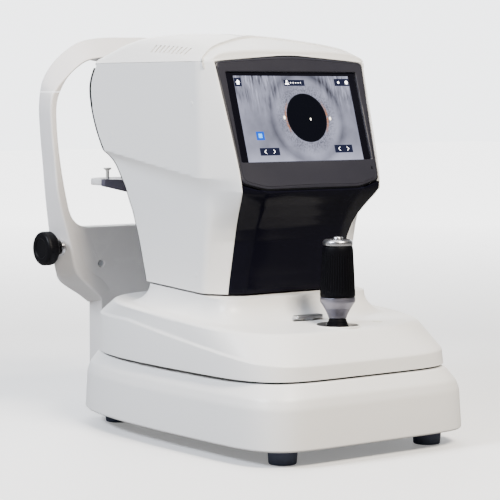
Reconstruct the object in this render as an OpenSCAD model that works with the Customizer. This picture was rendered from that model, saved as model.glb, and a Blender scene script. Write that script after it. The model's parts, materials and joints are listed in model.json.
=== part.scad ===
// Autorefractor: a table-top instrument that measures the eye.
// A base on four feet carries a stage that slides fore-aft and sideways, a measuring head
// that rises on the stage, and a face rest with a height-adjustable chin rest.
// +Z is up, +Y is the patient's side, -Y is the examiner's side with the screen and joystick.
// The origin is on the table under the middle of the whole instrument.

/* [Base] */
// Half of the base's greatest width
base_a = 139.6; // [130:0.1:150]
// From the widest point of the base to its front
base_front = 186.4; // [170:0.1:200]
// From the widest point of the base to its rear
base_rear = 209.6; // [195:0.1:220]
// Height of the flat top of the base above the table
base_top = 80.3; // [70:0.1:81]
// Height of a foot
foot_h = 16.3; // [12:0.1:20]
// Radius of a foot where it touches the table
foot_r = 14; // [10:0.5:18]

/* [Stage] */
// Half of the stage's greatest width
stage_a = 133.2; // [125:0.1:138]
// Sideways travel each way from the middle
stage_travel = 40; // [30:1:40]
// Wall thickness of the covers
wall = 3; // [2:0.5:4]

/* [Head] */
// Half of the head's greatest width
head_a = 109; // [100:1:115]
// Height of the top of the head
head_top = 427; // [410:1:430]
// Height of the line where the top cover meets the side covers
crease_z = 395; // [385:1:400]
// Height of the measuring axis
axis_z = 345; // [330:1:355]

/* [Screen] */
// Width of the lit picture
lcd_w = 152.4; // [140:0.1:155]
// Height of the lit picture
lcd_h = 91.4; // [85:0.1:92]
// Backward tilt of the screen in degrees
screen_tilt = 17; // [10:0.5:20]

/* [Joystick] */
// Distance of the joystick from the origin towards the examiner
stick_y = 172; // [165:1:175]
// Height of the joystick's pivot
pivot_z = 104; // [102:1:106]
// Radius of the grip at its foot
grip_r = 18; // [14:0.5:18]

/* [Face rest] */
// Front face of the face rest
rest_y = 157; // [157:0.5:160]
// Depth of the face rest from front to back
rest_d = 27; // [27:0.5:30]
// Height of the chin rest's knob and its shaft
knob_z = 191; // [188:1:195]
// Radius of the knob
knob_r = 19; // [14:0.5:20]

/* [Hidden] */

$fn = 64;
ring_n = 72;

// The base and the stage are both widest at this Y.
wide_y = -53;
// The stage's parting gap above the base.
stage_z = 81.4;

// ---- outlines and lofts -------------------------------------------------------------

function sgn(v) = v < 0 ? -1 : 1;
function bulge(v, n) = sgn(v) * pow(abs(v), 2 / n);

// Rounded outline, half-width a, front and rear reaches f and r, squareness n, and a rear
// that narrows by the share k. It is centred on Y = yc.
function outline(a, f, r, n, k, yc) = [
    for (i = [0 : ring_n - 1])
        let (t = 360 * i / ring_n, s = bulge(sin(t), n), narrow = 1 - k * pow(max(0, s), 2))
            [a * narrow * bulge(cos(t), n), yc + s * (s < 0 ? f : r)]
];

// A flat ring at height z, rising by slope for each millimetre of Y.
function at_z(o, z, slope = 0) = [for (p = o) [p.x, p.y, z + slope * p.y]];

// Solid through a list of rings, each drawn anticlockwise seen from the last ring.
module loft(rings) {
    n = len(rings[0]);
    m = len(rings);
    sides = [
        for (j = [0 : m - 2])
            for (i = [0 : n - 1])
                let (a = j * n + i, b = j * n + (i + 1) % n)
                    each [[a, a + n, b + n], [a, b + n, b]]
    ];
    bottom = [[for (i = [0 : n - 1]) i]];
    top = [[for (i = [n - 1 : -1 : 0]) (m - 1) * n + i]];
    polyhedron(points = [for (r = rings) each r], faces = concat(sides, bottom, top));
}

// Cylinder along X from x0 to x1.
module rod_x(x0, x1, y, z, r) {
    translate([x0, y, z]) rotate([0, 90, 0]) cylinder(r = r, h = x1 - x0);
}

// Cylinder along Y from y0 to y1.
module rod_y(y0, y1, x, z, r) {
    translate([x, y0, z]) rotate([-90, 0, 0]) cylinder(r = r, h = y1 - y0);
}

module rod_z(z0, z1, x, y, r) {
    translate([x, y, z0]) cylinder(r = r, h = z1 - z0);
}

// Box given by its two opposite corners.
module span(lo, hi) {
    translate(lo) cube(hi - lo);
}

module both_sides() {
    children();
    mirror([1, 0, 0]) children();
}

// Outline in X and Z, extruded in Y from y0 to y1.
module plate_y(points, y0, y1) {
    translate([0, y1, 0]) rotate([90, 0, 0]) linear_extrude(y1 - y0) polygon(points);
}

// A one-sided outline and its mirror image joined into one closed outline.
function with_mirror(half) = concat(half, [for (i = [len(half) - 1 : -1 : 0]) [-half[i].x, half[i].y]]);

// ---- gearing ------------------------------------------------------------------------

press_angle = 20;
tooth_thin = 0.05;

function involute(rb, a) = [
    rb * (cos(a) + a * PI / 180 * sin(a)),
    rb * (sin(a) - a * PI / 180 * cos(a))
];
function turned(p, a) = [p.x * cos(a) - p.y * sin(a), p.x * sin(a) + p.y * cos(a)];

// Spur pinion of module 1 with a tooth on the +X side of its outline.
module pinion(teeth, h, bore) {
    rp = teeth / 2;
    rb = rp * cos(press_angle);
    ra = rp + 0.9;
    rr = rp - 1.25;
    a_tip = sqrt(ra * ra / (rb * rb) - 1) * 180 / PI;
    a_pitch = tan(press_angle) * 180 / PI;
    flank_turn = a_pitch - press_angle + 90 / teeth * (1 - 2 * tooth_thin);
    steps = 5;
    flank = concat([[rr, 0]], [for (i = [0 : steps]) involute(rb, a_tip * i / steps)]);
    tooth = concat(
        [for (p = flank) turned(p, -flank_turn)],
        [for (i = [len(flank) - 1 : -1 : 0]) turned([flank[i].x, -flank[i].y], flank_turn)]);
    all_teeth = [for (k = [0 : teeth - 1]) each [for (p = tooth) turned(p, 360 * k / teeth)]];
    difference() {
        linear_extrude(h) polygon(all_teeth);
        translate([0, 0, -1]) cylinder(r = bore, h = h + 2);
    }
}

// Rack outline: teeth point to +Y, the pitch line is Y = 0, a gap is centred on X = 0.
function rack_outline(count, addendum, depth) = concat(
    [[-count * PI, -depth]], [[count * PI, -depth]],
    [for (k = [count - 1 : -1 : -count])
        let (c = (k + 0.5) * PI, w = PI / 4 * (1 - 2 * tooth_thin), t = tan(press_angle))
            each [[c + w + 1.15 * t, -1.15], [c + w - addendum * t, addendum],
                  [c - w + addendum * t, addendum], [c - w - 1.15 * t, -1.15]]]);

// ---- base ---------------------------------------------------------------------------

function base_ring(inset, z) = at_z(outline(base_a - inset, base_front - inset,
    base_rear - inset, 7, 0.2, wide_y), z);

module base_solid(t = 0) {
    loft([
        base_ring(t, foot_h - (t > 0 ? 1 : 0)),
        base_ring(2 + t, 57.5 - t / 2),
        base_ring(4 + t, 66 - t / 2),
        base_ring(8 + t, 74 - t / 2),
        base_ring(13.5 + t, base_top - t)]);
}

inlet_y = 70;
inlet_turn = 8.8;
inlet_x = 124.6;
inlet_z = 40;

// Places its children on the flat inlet panel: X outwards, Y along the panel.
module on_inlet_panel() {
    translate([inlet_x, inlet_y, inlet_z]) rotate([0, 0, inlet_turn]) children();
}

module base_cover() {
    color([0.93, 0.93, 0.91])
    difference() {
        base_solid();
        base_solid(wall);
        on_inlet_panel() span([-8, -34, -17], [20, 34, 17]);
        span([-56, base_rear + wide_y - 12, 0], [56, base_rear + wide_y + 5, 26]);
    }
}

feet_x = 95.6;
foot_front_y = -202.7;
foot_rear_y = 110;
rear_feet_x = 80;

module at_feet() {
    for (p = [[-feet_x, foot_front_y], [feet_x, foot_front_y], [-rear_feet_x, foot_rear_y],
              [rear_feet_x, foot_rear_y]])
        translate(p) children();
}

module feet() {
    color([0.33, 0.37, 0.44])
    at_feet() rotate_extrude() polygon([[0, 0], [foot_r - 1, 0], [foot_r, 1], [foot_r + 1, 14],
        [foot_r + 1, foot_h], [5, foot_h], [5, 22], [0, 22]]);
}

// Steel plate that closes the base from below; each foot's stud passes through it.
module base_plate_flat() {
    color([0.62, 0.64, 0.66])
    difference() {
        linear_extrude(3) offset(delta = -4.5)
            polygon(outline(base_a, base_front, base_rear, 7, 0.2, wide_y));
        translate([0, 0, -1]) at_feet() cylinder(r = 5.2, h = 6);
    }
}

module base_plate() {
    translate([0, 0, foot_h]) base_plate_flat();
}

floor_z = foot_h + 3;
deck_z = base_top - wall;

module rail_supports() {
    color([0.72, 0.73, 0.75])
    both_sides() difference() {
        span([60, -95, floor_z], [84, 35, deck_z]);
        span([64, -96, floor_z + 6], [80, 36, deck_z - 6]);
    }
}

rack_pitch_z = 93;
rack_teeth = 16;
rack_mid_y = -33;
rack_x = 74;
rack_w = 8;

module racks() {
    color([0.6, 0.6, 0.62])
    both_sides() translate([rack_x + rack_w, rack_mid_y, rack_pitch_z]) rotate([90, 0, -90])
        linear_extrude(rack_w) polygon(rack_outline(rack_teeth, 0.8, rack_pitch_z - base_top));
}

rod_r = 4;
y_rod_x = 64;
y_rod_z = 89;

module y_rods() {
    color([0.78, 0.79, 0.8])
    both_sides() {
        rod_y(-100, 24, y_rod_x, y_rod_z, rod_r);
        for (y = [-104, 14])
            span([y_rod_x - 7, y, base_top], [y_rod_x + 7, y + 10, y_rod_z + 6]);
    }
}

module power_supply() {
    color([0.7, 0.71, 0.72])
    difference() {
        span([10, 0, floor_z], [58, 110, floor_z + 36]);
        for (i = [0 : 5]) span([20, 12 + 16 * i, floor_z + 34], [48, 18 + 16 * i, floor_z + 40]);
    }
}

module main_board() {
    color([0.05, 0.35, 0.2])
    union() {
        span([-55, -110, floor_z + 8], [50, -10, floor_z + 9.6]);
        for (x = [-48, 43], y = [-103, -17]) rod_z(floor_z, floor_z + 8.5, x, y, 3);
        span([-30, -80, floor_z + 9], [-6, -56, floor_z + 13]);
        span([8, -90, floor_z + 9], [36, -70, floor_z + 18]);
        for (i = [0 : 3]) rod_z(floor_z + 9, floor_z + 24, -20 + 16 * i, -30, 5);
    }
}

module inlet_panel() {
    color([0.12, 0.12, 0.13])
    on_inlet_panel() difference() {
        span([-3, -33.5, -16.5], [-1, 33.5, 16.5]);
        span([-5, -27, -11], [5, 5, 12]);
        span([-5, 11, -10], [5, 27, 10]);
    }
}

module power_inlet() {
    color([0.1, 0.1, 0.1])
    on_inlet_panel() {
        difference() {
            span([-24, -26.8, -10.8], [-0.4, 4.8, 11.8]);
            span([-16, -23, -7.5], [2, 1, 8.5]);
        }
        for (p = [[-11, 3.5], [-17, -2.5], [-5, -2.5]])
            span([-17, p[0] - 1, p[1] - 3], [-6, p[0] + 1, p[1] + 3]);
        span([-24, rocker_y - 8, -10.9], [-7, rocker_y + 8, 10.9]);
        difference() {
            for (z = [-10.9, 9.5]) span([-8, rocker_y - 5, z], [-3.1, rocker_y + 5, z + 1.4]);
            rod_z(-20, 20, rocker_x, rocker_y, 1.55);
        }
    }
}

// The rocker turns on a pin along Z and is drawn in its off position.
rocker_x = -4.6;
rocker_y = 19;
rocker_tilt = 8;

module power_rocker() {
    color([0.08, 0.08, 0.08])
    on_inlet_panel() translate([rocker_x, rocker_y, 0]) rotate([0, 0, -rocker_tilt]) difference() {
        union() {
            intersection() {
                translate([0, 0, -9.2]) cylinder(r = 7.6, h = 18.4);
                span([-1.2, -7.6, -9.2], [6.5, 7.6, 9.2]);
            }
            rod_z(-10.6, 10.6, 0, 0, 1.5);
        }
        translate([14.2, 0, -10]) cylinder(r = 10.6, h = 20);
    }
}

// ---- face rest ----------------------------------------------------------------------

// Stations up one leg and over the arch, each with the front ridge, the outer back edge
// and the inner edge as X and Z.
leg_stations = [
    [[70, 131], [73, 126], [58, 142]],
    [[77, 138], [84, 134], [66, 152]],
    [[100, 158.5], [112, 153], [86, 166]],
    [[105, 166], [116, 164], [92, 174]],
    [[112, 196], [122, 195], [99, 198]],
    [[120, 223], [125.5, 221], [109.5, 225]],
    [[127, 250], [128.5, 249], [116, 250]],
    [[131, 285], [131.5, 285], [122.5, 285]],
    [[134.5, 320], [134.5, 320], [126.5, 320]],
    [[135.5, 349], [135.5, 352], [127, 349]],
    [[131.5, 364], [131, 376], [122.5, 364]],
    [[112, 384], [118, 396], [110.5, 382]],
    [[92, 398.2], [99, 412], [90.5, 396.5]],
    [[77, 402], [82, 421], [76, 400.5]],
    [[60, 403.5], [60, 425.5], [60, 402]],
    [[0, 404.5], [0, 427.5], [0, 403]]];
rest_back_y = rest_y + rest_d;
arch_split_z = 364;

function leg_ring(s, side) = [
    [side * s[0].x, rest_y, s[0].y], [side * s[2].x, rest_y + 1, s[2].y],
    [side * s[2].x, rest_back_y, s[2].y], [side * s[1].x, rest_back_y, s[1].y]];

module rest_legs() {
    last = len(leg_stations) - 1;
    loft(concat(
        [for (i = [0 : last]) leg_ring(leg_stations[i], -1)],
        [for (i = [last - 1 : -1 : 0]) leg_ring(leg_stations[i], 1)]));
}

function web_outline(t) = with_mirror([
    [70 - t, 18 + t], [70 - t, 131 + t / 2], [77 - t, 138 + t / 2], [100 - t, 158.5 + t / 2],
    [105 - t, 166], [112 - t, 196], [114.5 - t, 206], [100 - t, 216 - t], [90, 214 - t],
    [40, 213 - t]]);

post_x = 7.6;
post_y0 = 173.5;
screw_x = 70;
screw_z = 172;

module face_rest_lower() {
    color([0.88, 0.88, 0.87])
    difference() {
        union() {
            intersection() {
                rest_legs();
                span([-150, 0, 100], [150, 300, arch_split_z - 0.15]);
            }
            plate_y(web_outline(0), rest_y + 1, rest_back_y);
        }
        plate_y(web_outline(wall), rest_y + 1 + wall, rest_back_y + 1);
        span([-post_x, post_y0 - 0.7, 200], [post_x, rest_back_y + 1, 220]);
        rod_x(-130, -80, knob_y, knob_z, 6);
        rod_x(-130, -116.5, knob_y, knob_z, 11);
        for (x = [-screw_x, screw_x]) rod_y(rest_y - 1, rest_y + 6, x, screw_z, 3.2);
        span([-50.3, rest_y - 1, 0], [50.3, rest_y + 8.5, floor_z + 3.3]);
    }
}

module face_rest_arch() {
    color([0.94, 0.94, 0.92])
    intersection() {
        rest_legs();
        span([-150, 0, arch_split_z + 0.15], [150, 300, 440]);
    }
}

module face_rest_back() {
    color([0.9, 0.9, 0.89])
    difference() {
        plate_y(web_outline(wall + 0.3), rest_back_y - 2.5, rest_back_y);
        span([-post_x, rest_back_y - 4, 203], [post_x, rest_back_y + 1, 215]);
    }
}

// Steel angle: one leg lies on the base plate, the other stands inside the face rest.
module face_rest_bracket() {
    color([0.55, 0.56, 0.58])
    union() {
        span([-50, 112, floor_z], [50, rest_y + 8.2, floor_z + 3]);
        span([-50, rest_y + 4.2, floor_z], [50, rest_y + 8.2, 120]);
    }
}

module face_rest_screws() {
    color([0.7, 0.7, 0.7])
    for (x = [-screw_x, screw_x]) {
        rod_y(rest_y + 4.1, rest_y + 14, x, screw_z, 2.4);
        rod_y(rest_y + 1.6, rest_y + 4, x, screw_z, 3.1);
    }
}

pad_r = 125;

module forehead_rest() {
    color([0.2, 0.2, 0.22])
    intersection() {
        translate([0, rest_back_y - 6, 0]) difference() {
            translate([0, pad_r + 9, 396]) cylinder(r = pad_r + 9, h = 22, $fn = 128);
            translate([0, pad_r + 14, 395]) cylinder(r = pad_r - 2, h = 24, $fn = 128);
        }
        span([-62, rest_back_y + 0.2, 398], [62, rest_back_y + 26, 418]);
    }
}

knob_y = 168.5;
shaft_r = 4;
knob_face_x = -143.5;

module knob_bush() {
    color([0.8, 0.8, 0.8])
    difference() {
        union() {
            rod_x(-118, -108, knob_y, knob_z, 5.9);
            rod_x(-121, -116.5, knob_y, knob_z, 9.5);
        }
        rod_x(-125, -100, knob_y, knob_z, shaft_r + 0.05);
    }
}

// Knob, its hub, its shaft and the pinion that drives the chin rest's rack.
module chin_knob() {
    color([0.07, 0.07, 0.08]) {
        translate([knob_face_x, knob_y, knob_z]) rotate([0, 90, 0])
            rotate_extrude() polygon([[0, 0.6], [14, 0.6], [15, 0], [knob_r - 2.5, 0],
                [knob_r, 2.5], [knob_r, 12], [knob_r - 3, 15], [8.5, 16.5], [8.5, 21.8],
                [shaft_r, 21.8], [shaft_r, knob_shaft_end], [0, knob_shaft_end]]);
        translate([-5, knob_y, knob_z]) rotate([0, 90, 0]) rotate([0, 0, chin_mesh_turn])
            pinion(chin_teeth, 10, shaft_r - 0.5);
    }
}

knob_shaft_end = 155;
chin_teeth = 12;
// Turns the pinion so that a tooth points at the rack's gap.
chin_mesh_turn = 90;
chin_pitch_y = knob_y + chin_teeth / 2;
post_bottom = 148;
post_top = 250;

module chin_post() {
    color([0.75, 0.76, 0.78])
    union() {
        translate([5, chin_pitch_y, knob_z]) rotate([0, -90, 0])
            linear_extrude(10) polygon([for (p = rack_outline(12, 0.6, 5.5)) [p.x, -p.y]]);
        span([-5, chin_pitch_y + 1.5, post_bottom], [5, chin_pitch_y + 5.5, post_top + 4]);
    }
}

cup_y0 = 197;
cup_y1 = 239;
cup_a = 44;
cup_z0 = 257;
cup_z1 = 264.6;

module chin_bracket() {
    color([0.36, 0.36, 0.4])
    difference() {
        hull() {
            span([-cup_a, cup_y0 - 8, cup_z0 - 0.5], [cup_a, cup_y0 - 0.2, cup_z1]);
            span([-12, post_y0 - 3, post_top - 2], [12, post_y0 + 9, cup_z1 - 1]);
        }
        span([-5.2, post_y0 - 0.2, post_top - 5], [5.2, post_y0 + 7.2, post_top + 4.2]);
        for (x = [-pin_x, pin_x]) rod_z(cup_z0 - 10, cup_z1 + 1, x, pin_y, 2.05);
    }
}

pin_x = 38;
pin_y = cup_y0 - 4;

module chin_cup() {
    color([0.93, 0.93, 0.91])
    difference() {
        intersection() {
            union() {
                span([-cup_a, cup_y0, cup_z0], [cup_a, cup_y0 + 16, cup_z1]);
                translate([0, cup_y0 + 16, cup_z0]) linear_extrude(cup_z1 - cup_z0)
                    scale([cup_a / 26, 1]) circle(r = cup_y1 - cup_y0 - 16);
            }
            span([-cup_a, cup_y0, 0], [cup_a, cup_y1, 400]);
        }
        rod_y(cup_y0 + 5, cup_y1 + 5, 0, cup_z1 + 118, 121.5);
    }
}

module chin_pins() {
    color([0.85, 0.85, 0.8])
    for (x = [-pin_x, pin_x]) {
        rod_z(cup_z0 - 2, 274.5, x, pin_y, 2);
        translate([x, pin_y, 274.5]) rotate_extrude() polygon([[0, 0], [2.6, 0], [4.6, 1.6],
            [4.6, 3.2], [0, 3.2]]);
    }
}

// ---- carriage and stage -------------------------------------------------------------

shaft_y = -33;
shaft_z = 101;
x_rod_off = 16;
block_x0 = 58;
block_x1 = 70;

module carriage() {
    color([0.66, 0.67, 0.7])
    both_sides() difference() {
        span([block_x0, shaft_y - 24, 84.5], [block_x1, shaft_y + 24, 107]);
        rod_y(shaft_y - 30, shaft_y + 30, y_rod_x, y_rod_z, rod_r + 0.05);
        rod_x(block_x0 - 1, block_x1 + 1, shaft_y, shaft_z, rod_r + 0.05);
        for (s = [-1, 1]) rod_x(0, block_x0 + 8, shaft_y + s * x_rod_off, shaft_z, rod_r + 0.02);
    }
}

module x_rods() {
    color([0.8, 0.81, 0.82])
    for (s = [-1, 1])
        rod_x(-block_x0 - 7.5, block_x0 + 7.5, shaft_y + s * x_rod_off, shaft_z, rod_r);
}

module cross_shaft() {
    color([0.8, 0.8, 0.82])
    rod_x(-rack_x - rack_w + 0.5, rack_x + rack_w - 0.5, shaft_y, shaft_z, rod_r);
}

drive_teeth = 16;

module pinions() {
    color([0.75, 0.65, 0.35])
    both_sides() translate([rack_x + 0.5, shaft_y, shaft_z]) rotate([0, 90, 0])
        pinion(drive_teeth, rack_w - 1, rod_r + 0.02);
}

// Height of the stage's rim and of its top, both rising towards the patient.
function rim_z(y) = 98 + 0.112 * (min(y, 17) + 218);
function deck_slope_z(y) = 125.5 + 0.066 * (y + 198);
function stage_ring(inset, r) = outline(stage_a - inset, 170.6 - inset, 192.1 - inset, 5.5,
    0.182, wide_y);
function shoulder_ring(inset) = outline(128 - inset, 149 - inset, 146 - inset, 4, 0, -49);

module stage_solid(t = 0) {
    o1 = stage_ring(1.2 + t);
    o2 = stage_ring(4 + t);
    loft([
        at_z(stage_ring(t), stage_z - (t > 0 ? 1 : 0)),
        [for (p = o1) [p.x, p.y, rim_z(p.y) - 3 - t / 2]],
        [for (p = o2) [p.x, p.y, rim_z(p.y) + 2 - t / 2]],
        at_z(shoulder_ring(t + 0.5), 125.5 + 0.066 * 198 - 1.6 - t, 0.066),
        at_z(shoulder_ring(t + 5), 125.5 + 0.066 * 198 - t, 0.066)]);
}

// The raised neck under the head.
neck_slope = 0.055;
neck_z = 155 + neck_slope * 107 - 1.4;

module neck_solid(t = 0) {
    loft([
        at_z(outline(104 - t, 76 - t, 78 - t, 9, 0, -38), 115, 0.066),
        at_z(outline(101.5 - t, 72 - t, 76 - t, 9, 0, -38), 143, 0.066),
        at_z(outline(99 - t, 69 - t, 75.5 - t, 9, 0, -38), 149, 0.06),
        at_z(outline(97.5 - t, 67 - t, 75 - t, 9, 0, -38), neck_z - t, neck_slope)]);
}

sleeve_x = 62;
sleeve_y0 = -75;
sleeve_y1 = 10;
stick_hole_r = 21.5;
button_x = 55;
button_y = -170;
lever_x = -8;
lever_y = -134;

module stage_cover() {
    color([0.94, 0.94, 0.92])
    difference() {
        union() {
            difference() {
                union() {
                    stage_solid();
                    neck_solid();
                }
                stage_solid(wall);
                neck_solid(wall);
            }
            translate([0, -stick_y, 122]) difference() {
                cylinder(r = stick_hole_r + 3, h = 7.6);
                translate([0, 0, -1]) cylinder(r = stick_hole_r, h = 20);
            }
            translate([button_x, button_y, 116]) cylinder(r = 8, h = 10);
        }
        translate([0, -stick_y, 110]) cylinder(r = stick_hole_r, h = 40);
        translate([button_x, button_y, 100]) cylinder(r = 5.3, h = 40);
        span([-sleeve_x - 1.5, sleeve_y0 - 1.5, 140], [sleeve_x + 1.5, sleeve_y1 + 1.5, 190]);
        span([lever_x - 20, lever_y - 3, 110], [lever_x + 20, lever_y + 3, 150]);
        door_window(0.5);
    }
}

chassis_z0 = 108;
chassis_z1 = 112;
// Top of the groove in the chassis's underside that the pinions pass through.
groove_z = 110.4;
column_x = 40;
column_y = -32;

module stage_chassis() {
    color([0.7, 0.71, 0.73])
    difference() {
        union() {
            span([-88, -150, chassis_z0], [88, -6, chassis_z1]);
            span([-60, -7, chassis_z0], [60, 70, chassis_z1]);
            span([-44, -196, chassis_z0], [44, -149, chassis_z1]);
        }
        translate([0, -stick_y, 90]) cylinder(r = 20.05, h = 40);
        translate([0, column_y, 90]) cylinder(r = 9, h = 40);
        for (x = [-column_x, column_x])
            translate([x, column_y, 90]) cylinder(r = 5.02, h = 40);
        both_sides() span([30, shaft_y - 8, 100], [90, shaft_y + 8, groove_z]);
    }
}

module slide_block() {
    color([0.5, 0.52, 0.55])
    difference() {
        span([-15, shaft_y - 24, 95], [15, shaft_y + 24, chassis_z0]);
        for (s = [-1, 1]) rod_x(-20, 20, shaft_y + s * x_rod_off, shaft_z, rod_r + 0.05);
        rod_x(-20, 20, shaft_y, shaft_z, rod_r + 0.8);
    }
}

housing_r = 20;

module joystick_housing() {
    color([0.25, 0.25, 0.27])
    translate([0, -stick_y, 0]) difference() {
        union() {
            rod_z(92, 117, 0, 0, housing_r);
            rod_z(chassis_z1, chassis_z1 + 3, 0, 0, housing_r + 4);
        }
        rod_z(94, 120, 0, 0, 17);
        rod_x(-30, 30, 0, pivot_z, 2.05);
    }
}

module guide_columns() {
    color([0.82, 0.83, 0.84])
    for (x = [-column_x, column_x]) rod_z(groove_z + 0.1, 205, x, column_y, 5);
}

module lift_motor() {
    color([0.2, 0.2, 0.22])
    difference() {
        span([-17, column_y - 17, chassis_z1], [17, column_y + 17, chassis_z1 + 22]);
        rod_z(100, 150, 0, column_y, 4.3);
    }
}

module lift_screw() {
    color([0.8, 0.8, 0.8])
    rod_z(chassis_z1 + 1, 205, 0, column_y, 4);
}

// Stage lock: a lever that slides sideways in its slot.
module lock_lever() {
    color([0.72, 0.73, 0.75])
    union() {
        span([lever_x - 17, lever_y - 4.5, 131.6], [lever_x + 17, lever_y + 4.5, 135.4]);
        span([lever_x - 5, lever_y - 2.4, 118], [lever_x + 5, lever_y + 2.4, 132]);
    }
}

module print_button() {
    color([0.9, 0.9, 0.89])
    translate([button_x, button_y, 0]) union() {
        rod_z(119, 127.9, 0, 0, 5);
        rod_z(113, 115.4, 0, 0, 7);
        rod_z(115, 120, 0, 0, 3);
    }
}

// ---- printer ------------------------------------------------------------------------

printer_y0 = 0;
printer_y1 = 57;
door_hinge = [132, 0, 90];
door_turn = 7;
door_h = 30;

// Opening for the paper door in the stage's right side, grown by g.
module door_window(g) {
    translate(door_hinge) rotate([0, 0, door_turn])
        span([-14, -g, -g], [12, printer_y1 + 1 + g, door_h + g]);
}

module printer_door() {
    color([0.94, 0.94, 0.92])
    intersection() {
        difference() {
            stage_solid();
            stage_solid(wall);
        }
        door_window(0);
    }
}

roll_x = 100;
roll_z = 112.5;
roll_r = 17;

module printer_frame() {
    color([0.22, 0.22, 0.24])
    difference() {
        union() {
            span([80, printer_y0 - 4, 97], [114, printer_y0 - 1, 124]);
            span([80, printer_y1 + 1, 97], [114, printer_y1 + 4, 124]);
            span([78, printer_y0 - 4, 97], [81, printer_y1 + 4, 124]);
            span([50, printer_y0, chassis_z1], [79, printer_y1, chassis_z1 + 3]);
        }
        rod_y(printer_y0 - 6, printer_y1 + 6, roll_x, roll_z, 4.05);
    }
}

module paper_roll() {
    color([0.97, 0.97, 0.96])
    union() {
        rod_y(printer_y0, printer_y1, roll_x, roll_z, roll_r);
        rod_y(printer_y0 - 3.5, printer_y1 + 3.5, roll_x, roll_z, 4);
    }
}

// ---- joystick -----------------------------------------------------------------------

module at_stick() {
    translate([0, -stick_y, pivot_z]) children();
}

module gimbal_ring() {
    color([0.7, 0.7, 0.72])
    at_stick() difference() {
        union() {
            rod_z(-4, 4, 0, 0, 15);
            rod_x(-19, 19, 0, 0, 2);
        }
        rod_z(-6, 6, 0, 0, 11);
        rod_y(-20, 20, 0, 0, 2.05);
    }
}

module joystick_shaft() {
    color([0.75, 0.76, 0.78])
    at_stick() union() {
        sphere(r = 8);
        rod_z(0, 96, 0, 0, 4);
        rod_y(-14, 14, 0, 0, 2);
    }
}

module joystick_cone() {
    color([0.66, 0.66, 0.7])
    at_stick() rotate_extrude() polygon([[4.05, 30.5], [9, 30.5], [10.5, 34], [grip_r - 1, 46],
        [grip_r, 48], [grip_r, 52.3], [4.05, 52.3]]);
}

module joystick_boot() {
    color([0.06, 0.06, 0.07])
    at_stick() rotate_extrude() polygon([[4.05, 18], [13.5, 18], [14, 20], [11.5, 23],
        [8.8, 27], [8.6, 30.3], [4.05, 30.3]]);
}

module joystick_grip() {
    color([0.06, 0.06, 0.08])
    at_stick() difference() {
        rotate_extrude() polygon([[4.05, 52.6], [grip_r, 52.6], [grip_r, 54], [15.6, 104.6],
            [4.6, 104.6], [4.6, 97], [4.05, 97]]);
        for (i = [0 : 35]) rotate([0, 0, 10 * i])
            multmatrix([[1, 0, -0.0465, 0], [0, 1, 0, 0], [0, 0, 1, 0]])
                span([20.1, -0.55, 56], [23, 0.55, 103]);
    }
}

module joystick_cap() {
    color([0.85, 0.85, 0.87])
    at_stick() rotate_extrude() polygon([[5.6, 104.7], [15.2, 104.7], [15.2, 109.5],
        [13.8, 111], [7, 111], [7, 109.8], [5.6, 109.8]]);
}

module trigger_button() {
    color([0.8, 0.8, 0.82])
    at_stick() rotate_extrude() polygon([[0, 107], [5.3, 107], [5.3, 112.6], [4.3, 113.6],
        [0, 113.9]]);
}

// ---- head ---------------------------------------------------------------------------

// Levels of the head: height, half-width at the front face, half-width of the sides, front,
// depth of the front corner and rear.
head_levels = [
    [150, 87, 97.5, -120.3, 14, 37],
    [174, 88, 99, -123.6, 14, 43],
    [211, 89, 102, -128.7, 13, 53],
    [236, 90, 105, -132.2, 12, 62],
    [263.5, 92, 107.5, -136, 12, 76],
    [285, 93, head_a, -129.2, 14, 92],
    [303, 94, head_a, -123.4, 15, 107],
    [329, 95.5, head_a, -115.1, 15, 122],
    [356, 97, head_a, -106.5, 15, 131],
    [375, 98, head_a, -100.4, 15, 131],
    [396, 99.3, head_a, -93.8, 15, 119],
    [409, 87, head_a, -89.6, 18, 107],
    [440, 87, head_a, -79.7, 18, 84]];
rear_r = 16;
arc_n = 6;

function rear_arc(x, y, r, a0) = [
    for (i = [0 : arc_n]) [x + r * cos(a0 + 90 * i / arc_n), y + r * sin(a0 + 90 * i / arc_n)]
];

function head_ring(l, t) = let (w = l[2] - t, f = l[3] + t, b = l[5] - t)
    [for (p = concat([[-l[1] + t / 2, f], [l[1] - t / 2, f], [w, f + l[4]]],
        rear_arc(w - rear_r, b - rear_r, rear_r, 0),
        rear_arc(-w + rear_r, b - rear_r, rear_r, 90), [[-w, f + l[4]]]))
        [p.x, p.y, l[0]]];

// Crown seen from the side, as Y and Z.
function crown_side(t) = concat([[-200, 100], [200, 100]],
    [for (i = [0 : 12]) let (y = 150 - 26 * i)
        [y, head_top - t - (y > 47 ? 0.0042 : 0.00105) * pow(y - 47, 2)]]);

// Crown seen from the front, as X and Z.
function crown_front(t) = with_mirror([[0, head_top + 1 - t], [60 - t / 2, 424.5 - t],
    [85 - t / 2, 419 - t], [98 - t * 0.7, 408.5 - t], [head_a - t, crease_z - t / 2],
    [head_a - t, 100], [0, 100]]);

module head_solid(t = 0) {
    intersection() {
        loft([for (l = head_levels) head_ring(l, t)]);
        translate([200, 0, 0]) rotate([90, 0, -90]) linear_extrude(400)
            polygon([for (p = crown_side(t)) [-p.x, p.y]]);
        plate_y(crown_front(t), -200, 200);
        below_cut(t);
    }
}

// Everything above the head's sloping underside.
module below_cut(t) {
    z0 = 155 + neck_slope * 107;
    loft([at_z([[-150, -200], [150, -200], [150, 200], [-150, 200]], z0, neck_slope),
          at_z([[-150, -200], [150, -200], [150, 200], [-150, 200]], 500)]);
}

front_d = 9;
bezel_mid_z = 263.5;
bezel_side_z = 271.5;
bezel_top_z = 395;
bezel_apex_z = 402.5;

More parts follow.
